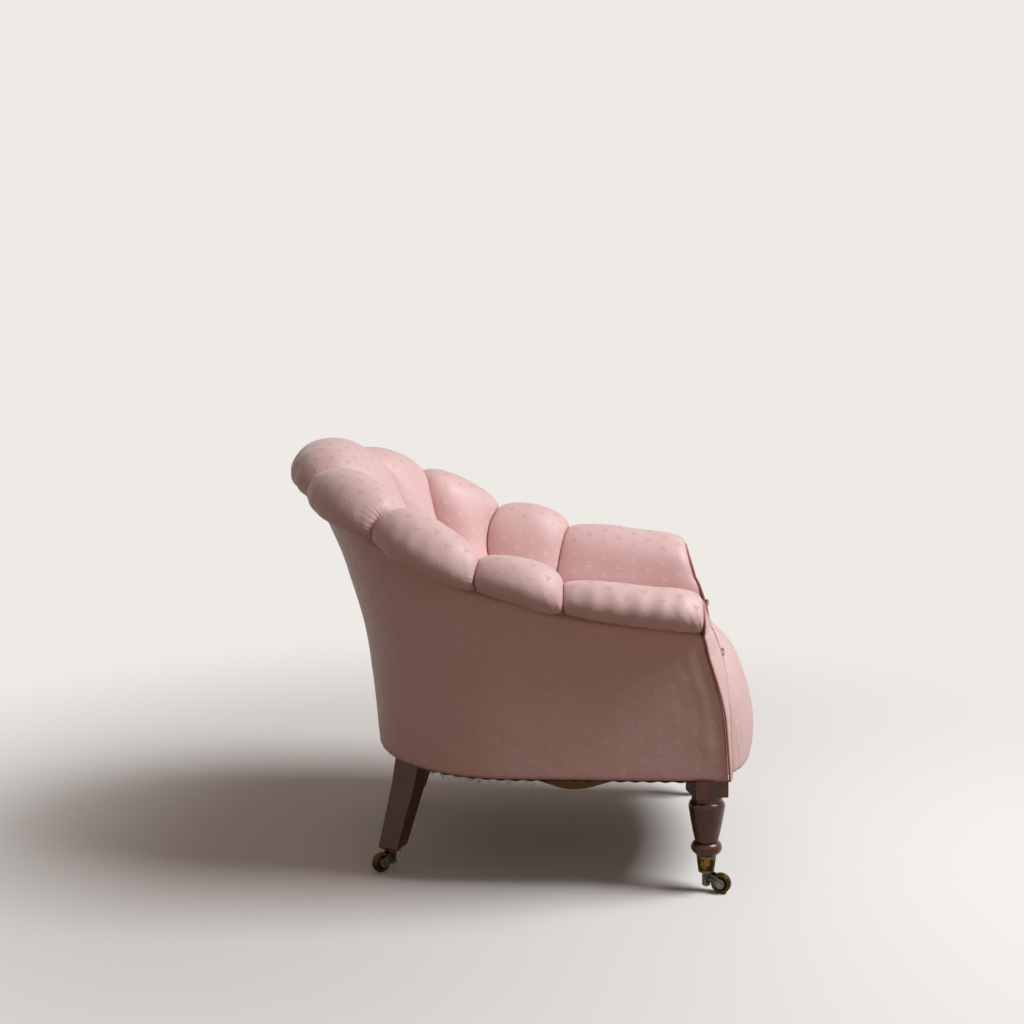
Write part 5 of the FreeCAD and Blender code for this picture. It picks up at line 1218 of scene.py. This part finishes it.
def facing_levels(count):
    """For each level of a left facing, from the base up: its outer and inner edge."""
    size, cover, shell = chair().trim, chair().cover, chair().shell
    end = np.array(SEAM_SHARES[-1])
    centre = np.array([size.rod_x, 0, size.rod_z])
    rows = np.arange(2 * len(COVER_SHARES) - 2, -1, -1) / 2
    outer = list(u_line(cover_rows(rows), np.full(rows.shape, float(end))))
    heights = np.array([point[2] for point in outer])
    inner = []
    for high, wide in FACING_SHARES:
        z = between(cover.base_height, shell.seat_line, high)
        x = smooth_table(heights, [point[0] for point in outer], np.array(z))
        inner.append(np.array([x - size.facing_width * wide, 0, z]))
    rows = np.arange(2 * len(ROW_SHARES) - 1) / 2
    points = u_line(shell_rows(rows), np.full(rows.shape, float(end)))
    away = unit((points - centre) * (1, 0, 1)) * size.facing_margin
    crest = int(np.argmax(points[:, 2]))
    clear = shell_rows(np.array(1.0))[ARM_HEIGHT] - size.facing_margin
    inner += [points[i] + away[i] for i in range(crest + 1) if points[i, 2] > clear]
    outer += [points[i] + away[i] for i in range(len(points) - 1, crest, -1)]
    outer, inner = np.array(outer), np.array(inner)
    closer_at_tip = 1.5
    z = between(cover.base_height + CLEARANCE, min(outer[-1, 2], inner[-1, 2]),
                1 - (1 - np.linspace(0, 1, count)) ** closer_at_tip)
    outside = np.stack([smooth_table(outer[:, 2], outer[:, axis], z) for axis in (0, 1)] + [z], -1)
    outside[:, 1] -= size.facing_gap
    inside = np.stack([smooth_table(inner[:, 2], inner[:, 0], z), z, z], -1)
    wide = outside[:, 0] - inside[:, 0]
    above = np.maximum(z[-1] - z, 1e-6)
    blended = (wide**-size.facing_blend + above**-size.facing_blend) ** (-1 / size.facing_blend)
    inside[:, 1] = outside[:, 1] - blended * size.facing_turn
    return outside, inside


def arm_facing(side):
    """Padded panel over the front end of one arm."""
    size = chair().trim
    levels, columns, rounded_edge = 121, 29, 0.004
    outside, inside = facing_levels(levels)
    part = np.linspace(0, 1, columns)[None, :, None]
    flat = between(outside[:, None], inside[:, None], part)
    width = np.linalg.norm(outside - inside, axis=-1)[:, None]
    ahead = unit(np.array([-size.facing_turn, -1.0, 0.0]))
    bulge = size.facing_bulge * np.minimum(1, width / size.facing_width)
    rounded = np.sqrt(np.maximum(0, 1 - (2 * part[..., 0] - 1) ** 2))
    part = part[..., 0]
    edges = np.minimum(1, np.sqrt(np.minimum(part, 1 - part) * width / rounded_edge))
    u = part * width
    v = run_length(flat, 0)
    near = np.minimum(u, width - u)
    pull_depth, pull_pitch, pull_lean, pull_reach, lump = 0.0008, 0.017, 0.03, 0.008, 0.0006
    pulls = folds(v + pull_lean * part, pull_pitch, 61, 1.5) * fade(near, pull_reach)
    lift = size.facing_edge * between(0.55, 1.0, edges) + bulge * rounded - pull_depth * pulls
    lift = lift + lump * noise(u / 0.03, v / 0.04, 63)
    front = flat + ahead * lift[..., None]
    back = flat - ahead * CLEARANCE
    for sheet in (front, back):
        sheet[..., 0] *= side
    name = "arm_facing_left" if side > 0 else "arm_facing_right"
    # Painted shade along both edges of the facing, beside the piping.
    made = slab(name, front, back, finishes()["damask"], np.stack([u - width / 2, v], -1),
                crease=fade(near, 0.0025))
    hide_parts(name)
    return made


def arm_piping(side):
    """Twisted cord round one facing: up its outer edge, over the scroll and down the inner edge."""
    size = chair().trim
    outside, inside = facing_levels(61)
    edge = np.concatenate([outside, inside[::-1]])
    run = np.gradient(edge, axis=0)
    away = unit(np.stack([run[:, 2], np.zeros(len(run)), -run[:, 0]], -1))
    ahead = unit(np.array([-size.facing_turn, -1.0, 0.0]))
    line = edge + away * (size.piping / 2 + size.piping_gap) + ahead * size.facing_edge / 2
    line[:, 0] *= side
    name = "arm_piping_left" if side > 0 else "arm_piping_right"
    made = cord_tree(size).grow(name + "_cord", line, chain(len(line)))
    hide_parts(name)
    return made


def base_line(inset, count, low=-2.0, high=2.0):
    """Points round the base outline, in from the bottom edge of the cover."""
    row = cover_rows(np.array(float(len(COVER_SHARES) - 1)))
    row = row - np.array([inset, inset, inset, 0, 0, 0, 0])
    return u_line(np.broadcast_to(row, (count, 7)), np.linspace(low, high, count))


def underside_outline(count):
    """Closed outline of the cloth underneath: the U of the base and the bow of its front."""
    size = chair().cover
    legs = base_line(size.thickness + CLEARANCE + size.cloth_inset, 3 * count)
    rail_front = -0.3295
    front = rail_front + size.cloth_inset
    legs = legs[legs[:, 1] > front]
    turn = np.linspace(-1, 1, count)[1:-1, None]
    bow = np.concatenate([legs[-1, 0] * -turn, front - size.nose * (1 - turn**2), 0 * turn], 1)
    return np.concatenate([legs, bow])


def cloth_rings(ring, centre):
    """Sheet of points from a closed edge in to its middle, and how far in each of its rings lies."""
    rings, closer_at_edge = 44, 1.15
    inward = np.linspace(0, 1, rings) ** closer_at_edge
    return ring[None] + (centre - ring[None]) * inward[:, None, None], inward


def cloth_faces(rings, columns):
    """Faces of such a sheet, the last of them triangles round its middle point."""
    index = np.arange(rings * columns).reshape(rings, columns)
    a, b, last = index[:-2], index[1:-1], index[-2]
    quads = np.stack([a, np.roll(a, -1, 1), np.roll(b, -1, 1), b], -1).reshape(-1, 4)
    tip = rings * columns - columns
    return quads.tolist() + [[int(i), int(j), tip] for i, j in zip(last, np.roll(last, -1))], tip


def bottom_cloth():
    """Hessian tacked under the rails, sagging and slack between its tacks."""
    size = chair().cover
    tack_pitch, count, centre, stretch = 0.024, 420, np.array([0, -0.06, 0]), 1.03
    outline = underside_outline(OUTLINE_POINTS)
    outline[:, 2] = 0
    closed = np.concatenate([outline, outline[:1]])
    gone = run_length(closed[:, None], 0)[:, 0]
    at = np.linspace(0, gone[-1], count, endpoint=False)
    ring = np.stack([np.interp(at, gone, closed[:, axis]) for axis in range(3)], -1)
    sheet, inward = cloth_rings(ring, centre)
    sag = smooth_table(*zip(*CLOTH_SHARES), inward)[:, None]
    across, along = sheet[..., 0], sheet[..., 1]
    slack = noise(across / 0.09, along / 0.09, 71) + 0.4 * noise(across / 0.035, along / 0.035, 73)
    scallop_depth, scallop_reach = 0.0022, 0.012
    scallop = 0.5 - 0.5 * np.cos(2 * math.pi * at / tack_pitch)[None]
    from_edge = inward[:, None] * np.linalg.norm(ring - centre, axis=1)[None]
    drop = size.sag * sag * (0.92 + 0.06 * slack) + scallop_depth * scallop * fade(from_edge, scallop_reach)
    # The loose stretch, and the share of the sag from which it hangs down in full.
    half_width, half_length, full_from = 0.032, 0.075, 0.4
    droop = np.exp(-((across - size.droop_x) / half_width) ** 2)
    droop *= np.cos(ramp(np.abs(along - size.droop_y), 0, half_length) * math.pi / 2) ** 1.5
    sheet[..., 2] = size.cloth_top - drop - size.droop * droop * ramp(sag, 0, full_from)
    faces, tip = cloth_faces(*sheet.shape[:2])
    made = piece("underside_hessian", sheet.reshape(-1, 3)[:tip + 1], faces, finishes()["hessian"])
    made.data.flip_normals()
    thick = made.modifiers.new("thickness", "SOLIDIFY")
    thick.thickness = size.cloth_thickness * 0.7
    thick.offset = -1
    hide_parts("bottom_cloth")
    return made


def chain(count, closed=False):
    """Links from each point of a line to the next."""
    links = [(i, i + 1) for i in range(count - 1)]
    return links + [(count - 1, 0)] if closed else links


def tacks():
    """Tack heads along the edge of the cloth underneath."""
    below, inset_share = 0.0014, 0.985
    line = underside_outline(OUTLINE_POINTS)
    line[:, 2] = chair().cover.cloth_top - below
    line[:, :2] *= inset_share
    made = tack_tree(chair().trim).grow("underside_tacks", line, chain(len(line), closed=True))
    return made


def frays():
    """Loose threads of hessian and webbing along the bottom edge, thick by the rear legs."""
    sizes = chair().trim
    inset, above, points = 0.006, 0.001, 60
    made = []
    for name, low, high, sparse in THREAD_SPANS:
        line = base_line(inset, points, low, high)
        line[:, 2] = chair().cover.cloth_top + above
        grown = fray_tree(sizes, sizes.thread_pitch * sparse).grow(name, line, chain(points))
        made.append(grown)
    return made


def dress_frame():
    """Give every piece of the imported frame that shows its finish."""
    slots = {}
    for material in frame["record"].get("materials", []):
        for node in material.get("nodes", []):
            slots[node] = material["slot"]
    made = finishes()
    for name, node in frame["nodes"].items():
        words = (FINISH_WORDS[word] for word in FINISH_WORDS if word in name)
        slot = slots.get(name) or next(words, "stuffing")
        finish = made.get(slot) or made["stuffing"]
        node.data.materials.clear()
        node.data.materials.append(finish)


def lamp(name, power, size, place, aim, tint):
    """Rectangular lamp at a place, turned to its aim."""
    light = bpy.data.lights.new(name, "AREA")
    light.shape = "RECTANGLE"
    light.size, light.size_y = size
    light.energy = power
    light.color = tint
    made = bpy.data.objects.new(name, light)
    made.location = place
    made.rotation_mode = "QUATERNION"
    made.rotation_quaternion = (Vector(aim) - Vector(place)).to_track_quat("-Z", "Y")
    bpy.context.scene.collection.objects.link(made)


def floor_finish(size):
    """Pale floor that takes shadows and runs into the backdrop with no edge."""
    finish = Finish("floor")
    place, (x, y, _) = finish.place()
    away, fades_out = (x * x + y * y) ** 0.5, (0.5, 1.7)
    grain = finish.clouds(place, 3.0, 4.0)
    glow = finish.node("ShaderNodeEmission", {}, {"Color": size.backdrop, "Strength": 1.0})[0]
    rays = finish.node("ShaderNodeLightPath")
    seen = (rays[CAMERA_RAY] + rays[GLOSSY_RAY]).least(1.0)
    base = finish.mix(grain * 0.1, size.floor, size.backdrop)
    base = finish.mix(seen, size.boards, base)
    shader = finish.node("ShaderNodeBsdfPrincipled", {}, {"Base Color": base, "Roughness": 0.8})[0]
    part = away.step(*fades_out) * seen
    mixed = finish.node("ShaderNodeMixShader", {}, {0: part, 1: shader, 2: glow})[0]
    finish.node("ShaderNodeOutputMaterial", {}, {"Surface": mixed})
    return finish.material


def build_stage():
    """Camera as it stood for the photograph, two lamps, even light, and the floor."""
    size = chair().stage
    scene = bpy.context.scene
    scene.view_settings.view_transform = "Standard"
    camera = bpy.data.cameras.new("camera")
    camera.lens = size.focal
    camera.sensor_width = SENSOR
    camera.shift_y = size.shift
    eye = bpy.data.objects.new("camera", camera)
    eye.location = (size.camera_x, size.camera_y, size.camera_z)
    level = math.cos(size.pitch)
    look = Vector((level * math.cos(size.yaw), level * math.sin(size.yaw), -math.sin(size.pitch)))
    eye.rotation_mode = "QUATERNION"
    eye.rotation_quaternion = look.to_track_quat("-Z", "Y")
    scene.collection.objects.link(eye)
    scene.camera = eye
    for name, *settings in LAMPS:
        lamp(name, getattr(size, name), *settings)
    world = bpy.data.worlds.new("studio")
    world.use_nodes = True
    scene.world = world
    sky = Nodes(world.node_tree)
    rays = sky.node("ShaderNodeLightPath")
    seen = sky.node("ShaderNodeMath", {"operation": "MAXIMUM"}, {0: rays[CAMERA_RAY], 1: rays[GLOSSY_RAY]})[0]
    even = sky.node("ShaderNodeBackground", {}, {0: size.glow, 1: size.sky})[0]
    backdrop = sky.node("ShaderNodeBackground", {}, {0: size.backdrop})[0]
    mixed = sky.node("ShaderNodeMixShader", {}, {0: seen, 1: even, 2: backdrop})[0]
    sky.node("ShaderNodeOutputWorld", {}, {0: mixed})
    mesh = bpy.data.meshes.new("floor")
    reach, sides = 30, 64
    turn = np.linspace(0, 2 * math.pi, sides + 1)[:-1]
    mesh.from_pydata([(reach * math.cos(t), reach * math.sin(t), 0) for t in turn], [], [list(range(sides))])
    mesh.materials.append(floor_finish(size))
    ground = bpy.data.objects.new("floor", mesh)
    scene.collection.objects.link(ground)


class Builder:
    """What every operator of the chair shares."""
    bl_options = {"REGISTER", "UNDO"}

    def execute(self, context):
        self.build()
        return {"FINISHED"}


class CHAIR_OT_stage(Builder, bpy.types.Operator):
    """Add the camera, lamps, backdrop and floor"""
    bl_idname = "shell_chair.stage"
    bl_label = "Stage"

    def build(self):
        build_stage()


class CHAIR_OT_channels(Builder, bpy.types.Operator):
    """Add the nine stuffed channels of the back and arms"""
    bl_idname = "shell_chair.channels"
    bl_label = "Channels"

    def build(self):
        seams = SEAM_SHARES
        channel("channel_centre", -seams[0], seams[0], FULLNESS_SHARES[0], 1)
        for number, (start, end) in enumerate(zip(seams, seams[1:]), 1):
            fullness = FULLNESS_SHARES[number]
            channel(f"channel_left_{number}", start, end, fullness, 10 * number)
            channel(f"channel_right_{number}", -end, -start, fullness, 10 * number + 5)


class CHAIR_OT_seat(Builder, bpy.types.Operator):
    """Add the stuffed seat with its bowed front"""
    bl_idname = "shell_chair.seat"
    bl_label = "Seat"

    def build(self):
        seat_cover()


class CHAIR_OT_cover(Builder, bpy.types.Operator):
    """Add the cloth on the outside and the hessian underneath"""
    bl_idname = "shell_chair.cover"
    bl_label = "Outside cover"

    def build(self):
        outside_cover()
        bottom_cloth()


class CHAIR_OT_facings(Builder, bpy.types.Operator):
    """Add the padded arm facings and the cord round them"""
    bl_idname = "shell_chair.facings"
    bl_label = "Arm facings"

    def build(self):
        for side in (1, -1):
            arm_facing(side)
            arm_piping(side)


class CHAIR_OT_trimmings(Builder, bpy.types.Operator):
    """Add the tacks and loose threads along the bottom edge"""
    bl_idname = "shell_chair.trimmings"
    bl_label = "Tacks and threads"

    def build(self):
        tacks()
        frays()


class CHAIR_OT_frame(Builder, bpy.types.Operator):
    """Finish the wood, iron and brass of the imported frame"""
    bl_idname = "shell_chair.frame"
    bl_label = "Frame and casters"

    def build(self):
        dress_frame()


STEPS = (CHAIR_OT_stage, CHAIR_OT_frame, CHAIR_OT_channels, CHAIR_OT_seat, CHAIR_OT_cover,
         CHAIR_OT_facings, CHAIR_OT_trimmings)


class CHAIR_PT_panel(bpy.types.Panel):
    """Sidebar panel that lists the pieces of the chair"""
    bl_idname = "CHAIR_PT_panel"
    bl_label = "Shell chair"
    bl_space_type = "VIEW_3D"
    bl_region_type = "UI"
    bl_category = "Shell chair"

    def draw(self, context):
        for step in STEPS:
            self.layout.operator(step.bl_idname)


GROUPS = (ShellSizes, CoverSizes, SeatSizes, TrimSizes, Colours, StageSizes, ShellChair)


def register():
    for item in GROUPS + STEPS + (CHAIR_PT_panel,):
        bpy.utils.register_class(item)
    bpy.types.Scene.shell_chair = PointerProperty(type=ShellChair)


def unregister():
    del bpy.types.Scene.shell_chair
    for item in reversed(GROUPS + STEPS + (CHAIR_PT_panel,)):
        bpy.utils.unregister_class(item)


def main():
    register()
    for step in STEPS:
        area, _, name = step.bl_idname.partition(".")
        getattr(getattr(bpy.ops, area), name)()


if __name__ == "__main__":
    main()
